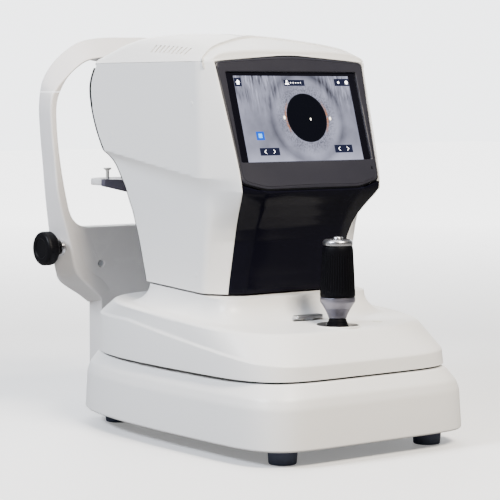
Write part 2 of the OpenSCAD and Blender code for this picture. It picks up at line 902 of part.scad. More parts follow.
// Zone in front of the bezel's top line, grown by g.
module below_bezel_top(g) {
    plate_y(with_mirror([[0, bezel_apex_z + g], [99.2, bezel_top_z + g], [130, 392.7 + g],
        [130, 100], [0, 100]]), -200, 0);
}

// The bezel's outline seen from the front, grown downwards by g.
module bezel_prism(g) {
    plate_y(with_mirror([[0, bezel_apex_z], [99.2, bezel_top_z], [120, bezel_top_z],
        [120, bezel_side_z - g], [92.3, bezel_side_z - g], [62.9, bezel_mid_z - g],
        [0, bezel_mid_z - g]]), -200, 0);
}

// Slot in the covers for the front parts: inside the front face's width, front_d deep.
module front_zone(g) {
    intersection() {
        loft([for (l = head_levels) let (w = l[1] + g, y = l[3] + front_d + g)
            [[-w, -200, l[0]], [w, -200, l[0]], [w, y, l[0]], [-w, y, l[0]]]]);
        below_bezel_top(g);
    }
}

// Zone of the patient's side panel.
function panel_d(z) = z > 300 ? 6 : (z < 260 ? 2.5 : 2.5 + 3.5 * (z - 260) / 40);
panel_top = 390;

module rear_zone(g) {
    intersection() {
        loft([for (l = head_levels) let (y = l[5] - panel_d(l[0]) - g, r = rear_r)
            [[-150, y - 9, l[0]], [-90, y, l[0]], [90, y, l[0]], [150, y - 9, l[0]],
             [150, 250, l[0]], [-150, 250, l[0]]]]);
        span([-200, -200, 100], [200, 300, panel_top + g]);
    }
}

module head_shell() {
    difference() {
        head_solid();
        head_solid(wall);
        front_zone(0.3);
        rear_zone(0.3);
    }
}

module head_left_cover() {
    color([0.93, 0.93, 0.93])
    intersection() {
        head_shell();
        span([-200, -200, 100], [-0.15, 200, crease_z - 0.15]);
    }
}

module head_right_cover() {
    color([0.93, 0.93, 0.93])
    intersection() {
        head_shell();
        span([0.15, -200, 100], [200, 200, crease_z - 0.15]);
    }
}

vent_n = 9;

module head_top_cover() {
    color([0.94, 0.94, 0.93])
    difference() {
        intersection() {
            head_shell();
            span([-200, -200, crease_z + 0.15], [200, 200, 500]);
        }
        for (i = [0 : vent_n - 1], s = [-1, 1])
            translate([s * 97, -44 + 8 * i, 404]) rotate([0, s * 48, 0])
                cube([9, 3, 30], center = true);
    }
}

panel_t = 4;

module front_panel() {
    levels = concat([for (i = [0 : 4]) head_levels[i]], [[bezel_side_z, 92.35, 0, -133.5]]);
    color([0.04, 0.04, 0.07])
    difference() {
        intersection() {
            loft([for (l = levels) let (w = l[1], y = l[3])
                [[-w, y, l[0]], [w, y, l[0]], [w, y + panel_t, l[0]], [-w, y + panel_t, l[0]]]]);
            below_cut(0);
        }
        bezel_prism(0.3);
    }
}

glass_w = 172;
screen_y = -109.2;
screen_z = 336.7;

// Places its children on the screen: X across, Y up the screen, Z out of it.
module on_screen() {
    translate([0, screen_y, screen_z]) rotate([90 - screen_tilt, 0, 0]) children();
}

module screen_bezel() {
    color([0.2, 0.2, 0.22])
    difference() {
        intersection() {
            head_solid();
            front_zone(0);
            bezel_prism(0);
        }
        on_screen() translate([0, -0.6, -1.2]) linear_extrude(30) square([glass_w, 96], center = true);
        on_screen() translate([0, -0.6, -30]) linear_extrude(40) square([158, 94], center = true);
    }
}

module screen_glass() {
    color([0.1, 0.1, 0.12, 0.4])
    on_screen() translate([0, -0.6, -1]) linear_extrude(1.4) square([glass_w - 0.6, 95.4], center = true);
}

module display_module() {
    color([0.3, 0.32, 0.35])
    on_screen() {
        translate([0, 0, -3.2]) linear_extrude(2) square([lcd_w + 4, lcd_h + 1], center = true);
        translate([0, 0, -12]) linear_extrude(8.8) square([lcd_w, lcd_h - 6], center = true);
    }
}

window_r = 33;

module patient_panel() {
    color([0.05, 0.05, 0.07])
    difference() {
        intersection() {
            difference() {
                head_solid();
                head_solid(8);
            }
            rear_zone(0);
        }
        rod_y(60, 180, 0, axis_z, window_r);
    }
}

module objective_ring() {
    color([0.08, 0.08, 0.09])
    translate([0, 0, axis_z]) rotate([-90, 0, 0]) rotate_extrude() polygon([[24, 119.5],
        [window_r - 0.2, 119.5], [window_r - 0.2, 133.5], [window_r - 1.5, 135], [27, 135],
        [24, 131]]);
}

module objective_lens() {
    color([0.6, 0.7, 0.8, 0.35])
    translate([0, 0, axis_z]) rotate([-90, 0, 0]) rotate_extrude() polygon(concat(
        [[0, 122], [23.9, 122], [23.9, 125]],
        [for (i = [4 : -1 : 0]) [23.9 * i / 5, 125 + 3 * (1 - pow(i / 5, 2))]]));
}

module lens_barrel() {
    color([0.12, 0.12, 0.13])
    difference() {
        union() {
            rod_y(-20, 119.3, 0, axis_z, 30);
            rod_y(-40, -20, 0, axis_z, 22);
        }
        rod_y(-50, 121, 0, axis_z, 19);
    }
}

module camera_module() {
    color([0.1, 0.3, 0.2])
    union() {
        span([-25, -66, axis_z - 25], [25, -40.2, axis_z + 25]);
        span([-32, -70, axis_z - 32], [32, -66, axis_z + 32]);
    }
}

plate_z = 212;

// Head chassis: a plate on the lift, guide bushes, the lift nut and posts to the barrel.
module head_chassis() {
    color([0.6, 0.61, 0.63])
    difference() {
        union() {
            span([-70, -80, plate_z], [70, 34, plate_z + 5]);
            for (x = [-column_x, column_x]) rod_z(172, plate_z + 1, x, column_y, 10);
            rod_z(176, plate_z + 1, 0, column_y, 11);
            for (y = [-15, 25])
                span([-20, y - 6, plate_z + 4], [20, y + 6, axis_z - 24]);
        }
        for (x = [-column_x, column_x]) rod_z(160, plate_z + 30, x, column_y, 5.05);
        rod_z(160, plate_z + 30, 0, column_y, 4.3);
        rod_y(-30, 40, 0, axis_z, 30.05);
    }
}

module lift_sleeve() {
    color([0.05, 0.05, 0.06])
    difference() {
        span([-sleeve_x, sleeve_y0, 122], [sleeve_x, sleeve_y1, plate_z]);
        span([-sleeve_x + 2, sleeve_y0 + 2, 120], [sleeve_x - 2, sleeve_y1 - 2, plate_z + 2]);
    }
}

base_cover();
base_plate();
feet();
rail_supports();
racks();
y_rods();
power_supply();
main_board();
inlet_panel();
power_inlet();
power_rocker();
face_rest_lower();
face_rest_arch();
face_rest_back();
face_rest_bracket();
face_rest_screws();
forehead_rest();
knob_bush();
carriage();
x_rods();
cross_shaft();
pinions();
stage_cover();
stage_chassis();
slide_block();
joystick_housing();
guide_columns();
lift_motor();
lift_screw();
lock_lever();
print_button();
printer_frame();
paper_roll();
printer_door();
gimbal_ring();
joystick_shaft();
joystick_cone();
joystick_boot();
joystick_grip();
joystick_cap();
trigger_button();
head_left_cover();
head_right_cover();
head_top_cover();
front_panel();
screen_bezel();
screen_glass();
display_module();
patient_panel();
objective_ring();
objective_lens();
lens_barrel();
camera_module();
head_chassis();
lift_sleeve();
chin_post();
chin_bracket();
chin_cup();
chin_knob();
chin_pins();
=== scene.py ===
"""Looks for the autorefractor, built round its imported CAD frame.

Lengths in the shape code are millimetres; make() turns them into metres.
"""
import json
import math

import bmesh
import bpy
import numpy as np
from mathutils import Matrix, Vector


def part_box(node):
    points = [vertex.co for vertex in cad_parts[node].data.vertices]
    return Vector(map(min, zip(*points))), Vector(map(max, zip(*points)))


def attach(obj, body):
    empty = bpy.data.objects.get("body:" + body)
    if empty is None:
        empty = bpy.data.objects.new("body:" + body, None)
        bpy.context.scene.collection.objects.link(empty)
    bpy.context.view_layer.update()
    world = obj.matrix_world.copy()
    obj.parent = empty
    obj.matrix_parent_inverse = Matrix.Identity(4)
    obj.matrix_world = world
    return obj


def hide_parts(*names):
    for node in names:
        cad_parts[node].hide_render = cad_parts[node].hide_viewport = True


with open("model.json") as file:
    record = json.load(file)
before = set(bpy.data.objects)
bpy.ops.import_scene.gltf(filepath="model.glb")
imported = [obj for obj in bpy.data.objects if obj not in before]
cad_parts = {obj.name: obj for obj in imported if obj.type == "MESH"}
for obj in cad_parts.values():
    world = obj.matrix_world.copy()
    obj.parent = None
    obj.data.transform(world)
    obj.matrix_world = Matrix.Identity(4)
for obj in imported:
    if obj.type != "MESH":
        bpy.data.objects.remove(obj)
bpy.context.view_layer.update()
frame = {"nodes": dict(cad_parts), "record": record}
MM = 0.001
WELD = 2e-6  # metres: points closer than this become one


def box(node):
    """A CAD node's corners in millimetres."""
    lo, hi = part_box(node)
    return np.array(lo) / MM, np.array(hi) / MM


# ---- materials ------------------------------------------------------------------------


class Tree:
    """Short names for making shader nodes."""

    def __init__(self, name):
        self.mat = bpy.data.materials.new(name)
        self.mat.use_nodes = True
        self.nodes = self.mat.node_tree.nodes
        self.links = self.mat.node_tree.links
        self.bsdf = self.nodes["Principled BSDF"]
        self.coords = self.nodes.new("ShaderNodeTexCoord").outputs["Object"]

    def link(self, a, b):
        self.links.new(a, b)

    def mapping(self, scale):
        n = self.nodes.new("ShaderNodeMapping")
        n.inputs["Scale"].default_value = scale
        self.link(self.coords, n.inputs["Vector"])
        return n.outputs["Vector"]

    def noise(self, scale, detail=3.0, vector=None, rough=0.5):
        n = self.nodes.new("ShaderNodeTexNoise")
        n.inputs["Scale"].default_value = scale
        n.inputs["Detail"].default_value = detail
        n.inputs["Roughness"].default_value = rough
        self.link(vector or self.coords, n.inputs["Vector"])
        return n.outputs["Fac"]

    def math(self, op, a, b=0.0, clamp=False):
        n = self.nodes.new("ShaderNodeMath")
        n.operation = op
        n.use_clamp = clamp
        for i, v in enumerate((a, b)):
            if isinstance(v, (int, float)):
                n.inputs[i].default_value = v
            else:
                self.link(v, n.inputs[i])
        return n.outputs[0]

    def add(self, a, b, clamp=False):
        return self.math("ADD", a, b, clamp)

    def sub(self, a, b, clamp=False):
        return self.math("SUBTRACT", a, b, clamp)

    def mul(self, a, b):
        return self.math("MULTIPLY", a, b)

    def length(self, a, b):
        return self.math("SQRT", self.add(self.mul(a, a), self.mul(b, b)))

    def band(self, value, middle, half):
        """1 at the middle, falling to 0 at half a width on either side."""
        off = self.math("DIVIDE", self.sub(value, middle), half)
        return self.sub(1.0, self.math("ABSOLUTE", off), clamp=True)

    def ramp(self, value, lo, hi, out_lo=0.0, out_hi=1.0):
        n = self.nodes.new("ShaderNodeMapRange")
        for i, v in enumerate((lo, hi, out_lo, out_hi)):
            n.inputs[i + 1].default_value = v
        self.link(value, n.inputs[0])
        return n.outputs[0]

    def mix(self, fac, a, b):
        n = self.nodes.new("ShaderNodeMix")
        n.data_type = "RGBA"
        for sock, v in ((n.inputs["Factor"], fac), (n.inputs["A"], a), (n.inputs["B"], b)):
            if isinstance(v, tuple):
                sock.default_value = (*v, 1)
            elif isinstance(v, (int, float)):
                sock.default_value = v
            else:
                self.link(v, sock)
        return n.outputs["Result"]

    def bump(self, height, strength, distance):
        n = self.nodes.new("ShaderNodeBump")
        n.inputs["Strength"].default_value = strength
        n.inputs["Distance"].default_value = distance
        self.link(height, n.inputs["Height"])
        return n.outputs["Normal"]


def rgb_scaled(c, k):
    return tuple(min(1.0, max(0.0, v * k)) for v in c)


def surface(name, color, rough, metallic=0.0, spread=0.05, grain=1800.0, depth=0.00003,
            strength=0.25, coat=0.0, specular=0.5, stretch=None, wear=0.0):
    """Moulded, painted or machined finish: mottled colour, uneven gloss and a fine grain."""
    t = Tree(name)
    b = t.bsdf
    b.inputs["Metallic"].default_value = metallic
    b.inputs["Specular IOR Level"].default_value = specular
    if coat:
        b.inputs["Coat Weight"].default_value = coat
        b.inputs["Coat Roughness"].default_value = 0.08
    vec = t.mapping(stretch) if stretch else None
    broad = t.noise(14.0, 4.0)
    fine = t.noise(grain if not stretch else 60.0, 5.0, vec, 0.6)
    tone = t.add(t.mul(broad, 0.75), t.mul(fine, 0.25))
    col = t.mix(tone, rgb_scaled(color, 1 - spread), rgb_scaled(color, 1 + spread))
    if wear:
        geo = t.nodes.new("ShaderNodeNewGeometry")
        edge = t.ramp(geo.outputs["Pointiness"], 0.52, 0.6, 0.0, wear)
        rub = t.mul(edge, t.ramp(t.noise(90.0), 0.4, 0.65))
        worn = rgb_scaled(color, 1.6) if max(color) < 0.3 else (0.97, 0.97, 0.95)
        col = t.mix(rub, col, worn)
    t.link(col, b.inputs["Base Color"])
    smear = t.noise(37.0, 5.0)
    gloss = t.ramp(t.add(t.mul(smear, 0.6), t.mul(fine, 0.4)), 0.3, 0.7, rough - 0.06, rough + 0.06)
    t.link(gloss, b.inputs["Roughness"])
    t.link(t.bump(fine, strength, depth), b.inputs["Normal"])
    return t.mat


WHITE = surface("white_shell", (0.80, 0.795, 0.78), 0.4, spread=0.012, depth=0.00002,
                strength=0.2, wear=0.25)
# Painted shade: the face rest, its web, back plate and chin cup get a darker copy of the head's white
# plastic, standing in for the shade that falls on them
WHITE_PAINTED_SHADE = surface("rest_shell", (0.72, 0.70, 0.69), 0.45, spread=0.015, depth=0.00003,
                     strength=0.3, wear=0.2)
BLACK_GLOSS = surface("black_gloss", (0.0035, 0.0035, 0.007), 0.16, spread=0.2, specular=0.05,
                      depth=0.00001, strength=0.1, wear=0.2)
BEZEL = surface("bezel_plastic", (0.02, 0.02, 0.028), 0.4, specular=0.3, spread=0.12, depth=0.00003,
                strength=0.35, wear=0.5)
BLACK = surface("black_plastic", (0.0025, 0.0025, 0.0036), 0.42, specular=0.1, spread=0.15,
                wear=0.35)
GREY = surface("grey_plastic", (0.09, 0.085, 0.115), 0.45, spread=0.08, wear=0.3)
CREAM = surface("button_plastic", (0.74, 0.73, 0.68), 0.3, spread=0.03, wear=0.2)
FOOT = surface("foot_rubber", (0.075, 0.09, 0.14), 0.7, spread=0.12, grain=900.0,
               depth=0.0001, strength=0.4, wear=0.3)
GRIP = surface("grip_rubber", (0.0022, 0.0022, 0.0032), 0.5, specular=0.05, spread=0.25,
               grain=1400.0, depth=0.00006, strength=0.4, wear=0.4)
PAD = surface("pad_rubber", (0.72, 0.71, 0.68), 0.55, spread=0.04, grain=1100.0,
              depth=0.00012, strength=0.5)
CHROME = surface("chrome", (0.62, 0.62, 0.64), 0.27, metallic=1.0, spread=0.03,
                 depth=0.000004, strength=0.1)
SATIN = surface("satin_metal", (0.25, 0.245, 0.29), 0.42, metallic=1.0, spread=0.08,
                stretch=(4.0, 4.0, 900.0), depth=0.00002, strength=0.35)
STEEL = surface("steel", (0.5, 0.51, 0.53), 0.36, metallic=1.0, spread=0.08,
                stretch=(900.0, 6.0, 6.0), depth=0.00001, strength=0.3)
ALUMINIUM = surface("aluminium", (0.6, 0.61, 0.63), 0.36, metallic=1.0, spread=0.07,
                    stretch=(8.0, 700.0, 8.0), depth=0.00001, strength=0.3)
BRASS = surface("brass", (0.65, 0.47, 0.2), 0.3, metallic=1.0, spread=0.1,
                stretch=(700.0, 8.0, 8.0), depth=0.00001, strength=0.3)
BOARD = surface("circuit_board", (0.02, 0.13, 0.07), 0.4, spread=0.25, grain=400.0,
                depth=0.0001, strength=0.5)
PAPER = surface("paper", (0.86, 0.85, 0.82), 0.8, spread=0.03, grain=900.0,
                depth=0.00008, strength=0.6)


def lens_material():
    t = Tree("lens_glass")
    b = t.bsdf
    b.inputs["Roughness"].default_value = 0.03
    b.inputs["IOR"].default_value = 1.5
    b.inputs["Coat Weight"].default_value = 1.0
    b.inputs["Coat Roughness"].default_value = 0.02
    edge = t.noise(6.0)
    t.link(t.mix(edge, (0.01, 0.02, 0.05), (0.04, 0.015, 0.06)), b.inputs["Base Color"])
    return t.mat


LENS = lens_material()
SLOT_MATERIALS = {
    "white_shell": WHITE, "foot_rubber": FOOT, "steel": STEEL, "aluminium": ALUMINIUM,
    "circuit_board": BOARD, "black_plastic": BLACK, "black_gloss": BLACK_GLOSS,
    "bezel_plastic": BEZEL, "screen_glass": BLACK_GLOSS, "lens_glass": LENS, "chrome": CHROME,
    "satin_metal": SATIN, "grip_rubber": GRIP, "brass": BRASS, "button_plastic": CREAM,
    "paper": PAPER, "pad_rubber": PAD, "grey_plastic": GREY,
}
for row in frame["record"]["subparts"]:
    data = frame["nodes"][row["node"]].data
    data.materials.clear()
    data.materials.append(SLOT_MATERIALS[row["material_slot"]])


# ---- mesh helpers ---------------------------------------------------------------------


def solid(name, verts, faces, weld=False):
    """An object from points in millimetres, its faces turned outwards."""
    mesh = bpy.data.meshes.new(name)
    mesh.from_pydata([tuple(float(c) * MM for c in v) for v in verts], [], faces)
    if weld:
        mesh.validate()
    bm = bmesh.new()
    bm.from_mesh(mesh)
    if weld:
        bmesh.ops.remove_doubles(bm, verts=bm.verts, dist=WELD)
    bmesh.ops.recalc_face_normals(bm, faces=bm.faces)
    bm.to_mesh(mesh)
    bm.free()
    obj = bpy.data.objects.new(name, mesh)
    bpy.context.scene.collection.objects.link(obj)
    return obj


def make(name, verts, faces, mat, body, slot, nodes=(), sharp=35.0):
    """A piece that rides on its body and stands for its nodes."""
    obj = solid(name, verts, faces, weld=True)
    obj.data.materials.append(mat)
    shade(obj, sharp)
    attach(obj, body)
    if nodes:
        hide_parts(*nodes)
    return obj


def turned(name, profile, at, mat, body, slot, nodes=(), n=96, wave=None, sharp=35.0):
    """A lathe-turned piece, put in its place by a matrix."""
    return make(name, *placed(lathe(profile, n, wave), at), mat, body, slot, nodes, sharp)


def shade(obj, sharp):
    obj.data.shade_smooth()
    obj.data.set_sharp_from_angle(angle=math.radians(sharp))


def bevel(obj, width, segments, angle):
    m = obj.modifiers.new("soft_edges", "BEVEL")
    m.width = width * MM
    m.segments = segments
    m.limit_method = "ANGLE"
    m.angle_limit = math.radians(angle)


def cut(obj, verts, faces, sharp=35.0, crossing=False):
    """Takes a closed solid, in millimetres, out of a piece."""
    cutter = solid("cutter", verts, faces)
    m = obj.modifiers.new("cut", "BOOLEAN")
    m.operation = "DIFFERENCE"
    m.solver = "EXACT"
    m.use_self = crossing
    m.object = cutter
    dg = bpy.context.evaluated_depsgraph_get()
    mesh = bpy.data.meshes.new_from_object(obj.evaluated_get(dg))
    obj.modifiers.clear()
    obj.data = mesh
    shade(obj, sharp)
    bpy.data.objects.remove(cutter)


def loft(rings, caps=True):
    """Points and faces through closed rings of equal length."""
    n = len(rings[0])
    verts = [p for r in rings for p in r]
    faces = []
    for j in range(len(rings) - 1):
        for i in range(n):
            a, b = j * n + i, j * n + (i + 1) % n
            faces.append((a, b, b + n, a + n))
    if caps:
        faces.append(tuple(range(n - 1, -1, -1)))
        faces.append(tuple((len(rings) - 1) * n + i for i in range(n)))
    return verts, faces


def unit(a):
    return a / np.maximum(np.linalg.norm(a, axis=-1, keepdims=True), 1e-9)


def eased(outer, inner, normals, r):
    """Rows of a wall with its first and last outer edges rounded off."""
    def lead(a, b, nrm):
        step = b - a
        reach = np.minimum(r, 0.8 * np.linalg.norm(step, axis=-1, keepdims=True))
        t = unit(step)
        return [a - nrm * r, a + t * reach * 0.3 - nrm * r * 0.3, a + t * reach]

    first = lead(outer[0], outer[1], normals[0])
    last = lead(outer[-1], outer[-2], normals[-1])
    out = np.array(first + list(outer[1:-1]) + last[::-1])
    ins = np.array([inner[0]] * 3 + list(inner[1:-1]) + [inner[-1]] * 3)
    nrm = np.array([normals[0]] * 3 + list(normals[1:-1]) + [normals[-1]] * 3)
    return out, ins, nrm


def walled(grid, t, middle, closed=False, cap=False, r=0.5):
    """Closed wall of thickness t inside a grid of points, with eased edges."""
    g = np.array(grid, float)
    dv = np.gradient(g, axis=0)
    du = np.roll(g, -1, 1) - np.roll(g, 1, 1) if closed else np.gradient(g, axis=1)
    nrm = unit(np.cross(unit(du), unit(dv)))
    if np.sum(nrm * (g - np.array(middle, float))) < 0:
        nrm = -nrm
    inner = g - nrm * t
    out, ins, nrm = eased(g, inner, nrm, r)
    if cap:
        out, ins, nrm = out[:-2], ins[:-2], nrm[:-2]
        out[-1], ins[-1] = g[-1], inner[-1]
    if not closed:
        out, ins, nrm = (np.swapaxes(a, 0, 1) for a in (out, ins, nrm))
        out, ins, nrm = eased(out, ins, nrm, r)
        out, ins = np.swapaxes(out, 0, 1), np.swapaxes(ins, 0, 1)
    rows, n = out.shape[:2]
    k = rows * n
    verts = list(out.reshape(-1, 3)) + list(ins.reshape(-1, 3))
    faces = []
    span = range(n if closed else n - 1)
    for j in range(rows - 1):
        for i in span:
            a, b = j * n + i, j * n + (i + 1) % n
            faces.append((a, b, b + n, a + n))
            faces.append((k + a, k + a + n, k + b + n, k + b))
    for i in span:
        b = (i + 1) % n
        faces.append((i, k + i, k + b, b))
        if not cap:
            a, b = (rows - 1) * n + i, (rows - 1) * n + b
            faces.append((a, b, k + b, k + a))
    if cap:
        faces.append(tuple((rows - 1) * n + i for i in range(n)))
        faces.append(tuple(k + (rows - 1) * n + i for i in range(n - 1, -1, -1)))
    if not closed:
        for j in range(rows - 1):
            for i in (0, n - 1):
                a, b = j * n + i, (j + 1) * n + i
                faces.append((a, b, k + b, k + a))
    return verts, faces


def joined(*parts):
    verts, faces = [], []
    for v, f in parts:
        k = len(verts)
        verts += list(v)
        faces += [tuple(i + k for i in face) for face in f]
    return verts, faces


def block(lo, hi):
    (x0, y0, z0), (x1, y1, z1) = lo, hi
    v = [(x, y, z) for z in (z0, z1) for y in (y0, y1) for x in (x0, x1)]
    return v, [(0, 2, 3, 1), (4, 5, 7, 6), (0, 1, 5, 4), (2, 6, 7, 3), (0, 4, 6, 2), (1, 3, 7, 5)]


def placed(part, matrix):
    return [tuple(matrix @ Vector([float(c) for c in p])) for p in part[0]], part[1]


def soften(points, radii, steps=5, closed=True):
    """Rounds the corners of a polyline with short curves of about the given radii."""
    pts = [np.array(p, float) for p in points]
    out = []
    n = len(pts)
    for i, p in enumerate(pts):
        r = radii[i] if isinstance(radii, (list, tuple)) else radii
        if (not closed and i in (0, n - 1)) or r <= 0:
            out.append(p)
            continue
        a, b = pts[i - 1], pts[(i + 1) % n]
        la, lb = np.linalg.norm(a - p), np.linalg.norm(b - p)
        ra, rb = min(r, la * 0.49), min(r, lb * 0.49)
        pa, pb = p + (a - p) / la * ra, p + (b - p) / lb * rb
        for k in range(steps + 1):
            t = k / steps
            out.append((1 - t) ** 2 * pa + 2 * t * (1 - t) * p + t * t * pb)
    return out


def lathe(profile, n=96, wave=None):
    """Closed solid turned about Z. Profile: radius and height, from the axis to the axis."""
    verts, faces = [], []
    rows = []
    for r, z in profile:
        if r < 1e-6:
            rows.append([len(verts)] * n)
            verts.append((0.0, 0.0, z))
            continue
        rows.append(list(range(len(verts), len(verts) + n)))
        for i in range(n):
            a = 2 * math.pi * i / n
            rr = r - (wave(a, z) if wave else 0.0)
            verts.append((rr * math.cos(a), rr * math.sin(a), z))
    for j in range(len(rows) - 1):
        for i in range(n):
            k = (i + 1) % n
            face = []
            for v in (rows[j][i], rows[j][k], rows[j + 1][k], rows[j + 1][i]):
                if v not in face:
                    face.append(v)
            if len(face) > 2:
                faces.append(tuple(face))
    return verts, faces


def ring_profile(points, radii):
    """Rounded profile of a ring, closed because it doesn't reach the axis."""
    out = soften(points, radii, 3)
    return out + [out[0]]


def to_x(place):
    """Turns +Z along X, at a place."""
    return Matrix.Translation(place) @ Matrix.Rotation(math.pi / 2, 4, "Y")


def to_y(place):
    """Turns +Z along Y, at a place."""
    return Matrix.Translation(place) @ Matrix.Rotation(-math.pi / 2, 4, "X")


def sample(table, z, column):
    """Value of a table's column at z, linear between its rows."""
    zs = [r[0] for r in table]
    return float(np.interp(z, zs, [r[column] for r in table]))


def smooth_sample(table, z, column):
    """The same with a smooth curve through the rows."""
    zs = [r[0] for r in table]
    ys = [r[column] for r in table]
    last = len(zs) - 1
    i = int(np.clip(np.searchsorted(zs, z) - 1, 0, last - 1))
    t = min(1.0, max(0.0, (z - zs[i]) / (zs[i + 1] - zs[i])))

    def slope(k):
        a, b = max(k - 1, 0), min(k + 1, last)
        return (ys[b] - ys[a]) / (zs[b] - zs[a])

    h = zs[i + 1] - zs[i]
    t2, t3 = t * t, t * t * t
    return ((2 * t3 - 3 * t2 + 1) * ys[i] + (t3 - 2 * t2 + t) * h * slope(i)
            + (-2 * t3 + 3 * t2) * ys[i + 1] + (t3 - t2) * h * slope(i + 1))


def screw_head(name, centre, direction, r):
    """Black cross-recessed pan head on the base, facing along direction."""
    prof = soften([(0, -1.5), (r, -1.5), (r, 0.4), (r * 0.72, 1.1), (0, 1.35)],
                  [0, 0, 0.5, 0.6, 0], 4, False)
    q = Vector(direction).to_track_quat("Z", "Y").to_matrix().to_4x4()
    m = Matrix.Translation(Vector(centre)) @ q
    obj = turned(name, prof, m, BLACK, "base", "black_plastic", n=40)
    for a, b in ((0.62 * r, 0.16 * r), (0.16 * r, 0.62 * r)):
        cut(obj, *placed(block((-a, -b, 0.55), (a, b, 3)), m))


# ---- camera, light and floor ----------------------------------------------------------

scene = bpy.context.scene
cam = bpy.data.objects.new("camera", bpy.data.cameras.new("camera"))
scene.collection.objects.link(cam)
YAW, PITCH = math.radians(-37.49), math.radians(4.52)
cam.location = (-1.3081, -1.7309, 0.3648)
aim = Vector((-math.sin(YAW) * math.cos(PITCH), math.cos(YAW) * math.cos(PITCH), -math.sin(PITCH)))
cam.rotation_euler = aim.to_track_quat("-Z", "Y").to_euler()
cam.data.lens = 144.6
cam.data.sensor_width = 36.0
cam.data.clip_start, cam.data.clip_end = 0.05, 60.0
scene.camera = cam

world = bpy.data.worlds.new("studio")
world.use_nodes = True
world_nodes, world_links = world.node_tree.nodes, world.node_tree.links
sky = world_nodes["Background"]
sky.inputs[0].default_value = (0.96, 0.98, 1.0, 1)
sky_dir = world_nodes.new("ShaderNodeTexCoord").outputs["Generated"]


def sky_share(direction, lo, hi, out_lo, out_hi):
    """Brightness that grows towards a direction in the studio."""
    dot = world_nodes.new("ShaderNodeVectorMath")
    dot.operation = "DOT_PRODUCT"
    dot.inputs[1].default_value = direction
    world_links.new(sky_dir, dot.inputs[0])
    m = world_nodes.new("ShaderNodeMapRange")
    m.interpolation_type = "SMOOTHSTEP"
    for i, v in enumerate((lo, hi, out_lo, out_hi)):
        m.inputs[i + 1].default_value = v
    world_links.new(dot.outputs["Value"], m.inputs[0])
    return m.outputs[0]


sky_sum = world_nodes.new("ShaderNodeMath")
sky_sum.operation = "ADD"
world_links.new(sky_share((0, -1, 0), -0.25, 0.45, 0.34, 0.07), sky_sum.inputs[0])
world_links.new(sky_share(tuple(aim), 0.8, 0.97, 0.0, 3.6), sky_sum.inputs[1])
world_links.new(sky_sum.outputs[0], sky.inputs[1])
scene.world = world


def area_light(name, place, target, size, power, color):
    data = bpy.data.lights.new(name, "AREA")
    data.shape = "RECTANGLE"
    data.size, data.size_y = size
    data.energy = power
    data.color = color
    o = bpy.data.objects.new(name, data)
    o.location = place
    o.rotation_euler = (Vector(target) - Vector(place)).to_track_quat("-Z", "Y").to_euler()
    scene.collection.objects.link(o)


area_light("key", (-0.1, -2.0, 2.2), (0, 0, 0.15), (0.9, 0.8), 172, (1.0, 0.91, 0.79))
area_light("side", (-2.3, 0.1, 1.75), (0, 0, 0.25), (0.7, 0.6), 122, (0.85, 0.9, 1.0))
area_light("top", (0.0, 0.2, 2.4), (0, 0, 0.2), (1.5, 1.5), 30, (1.0, 1.0, 1.0))
area_light("back", (1.2, 2.2, 1.4), (0, 0, 0.2), (1.2, 1.2), 20, (0.95, 0.97, 1.0))

# The floor glows more with distance, to meet the pale background. It throws little light
# up at the object, so that the undersides keep their shade.
floor_mat = surface("floor", (0.86, 0.86, 0.86), 0.6, spread=0.004, depth=0.0001, strength=0.02)
floor_nodes, floor_links = floor_mat.node_tree.nodes, floor_mat.node_tree.links
far = floor_nodes.new("ShaderNodeVectorMath")
far.operation = "LENGTH"
far_fade = floor_nodes.new("ShaderNodeMapRange")
for i, v in enumerate((0.9, 3.4, 0.25, 3.6)):  # metres from the middle, then the glow
    far_fade.inputs[i + 1].default_value = v
floor_bsdf = floor_nodes["Principled BSDF"]
floor_bsdf.inputs["Emission Color"].default_value = (1, 1, 1, 1)
dim = floor_nodes.new("ShaderNodeBsdfDiffuse")
dim.inputs["Color"].default_value = (0.22, 0.22, 0.22, 1)
seen = floor_nodes.new("ShaderNodeLightPath").outputs["Is Camera Ray"]
blend = floor_nodes.new("ShaderNodeMixShader")
for a, b in ((floor_nodes.new("ShaderNodeTexCoord").outputs["Object"], far.inputs[0]),
             (far.outputs["Value"], far_fade.inputs[0]),
             (far_fade.outputs[0], floor_bsdf.inputs["Emission Strength"]),
             (seen, blend.inputs[0]), (dim.outputs[0], blend.inputs[1]),
             (floor_bsdf.outputs[0], blend.inputs[2]),
             (blend.outputs[0], floor_nodes["Material Output"].inputs["Surface"])):
    floor_links.new(a, b)
floor_mesh = bpy.data.meshes.new("floor")
floor_mesh.from_pydata([(-9, -9, 0), (9, -9, 0), (9, 9, 0), (-9, 9, 0)], [], [(0, 1, 2, 3)])
floor_mesh.materials.append(floor_mat)
floor = bpy.data.objects.new("floor", floor_mesh)
scene.collection.objects.link(floor)

# ---- base -----------------------------------------------------------------------------

RING = 256  # points round a plan outline
SHELL_WALL = 2.8
base_lo, base_hi = box("base_cover")
stage_lo, stage_hi = box("stage_cover")
WIDE_Y = -53.0  # where the base and the stage are widest


def bulge(v, n):
    """A sine or cosine pushed outwards, for a rounded square of power n."""
    return math.copysign(abs(v) ** (2 / n), v)


def outline(a, front, rear, n, k, yc):
    """Plan outline about yc: half-width a, squarer as n grows, its rear narrowed by the share k."""
    out = []
    for i in range(RING):
        t = 2 * math.pi * i / RING
        s = bulge(math.sin(t), n)
        narrow = 1 - k * max(0.0, s) ** 2
        out.append((a * narrow * bulge(math.cos(t), n), yc + s * (front if s < 0 else rear)))
    return out


BASE_A = base_hi[0]
BASE_FRONT = WIDE_Y - base_lo[1]
BASE_REAR = base_hi[1] - WIDE_Y
BASE_Z0, BASE_Z1 = base_lo[2], base_hi[2]


def base_ring(inset, z):
    return [(x, y, z) for x, y in outline(BASE_A - inset, BASE_FRONT - inset,
                                          BASE_REAR - inset, 7, 0.2, WIDE_Y)]


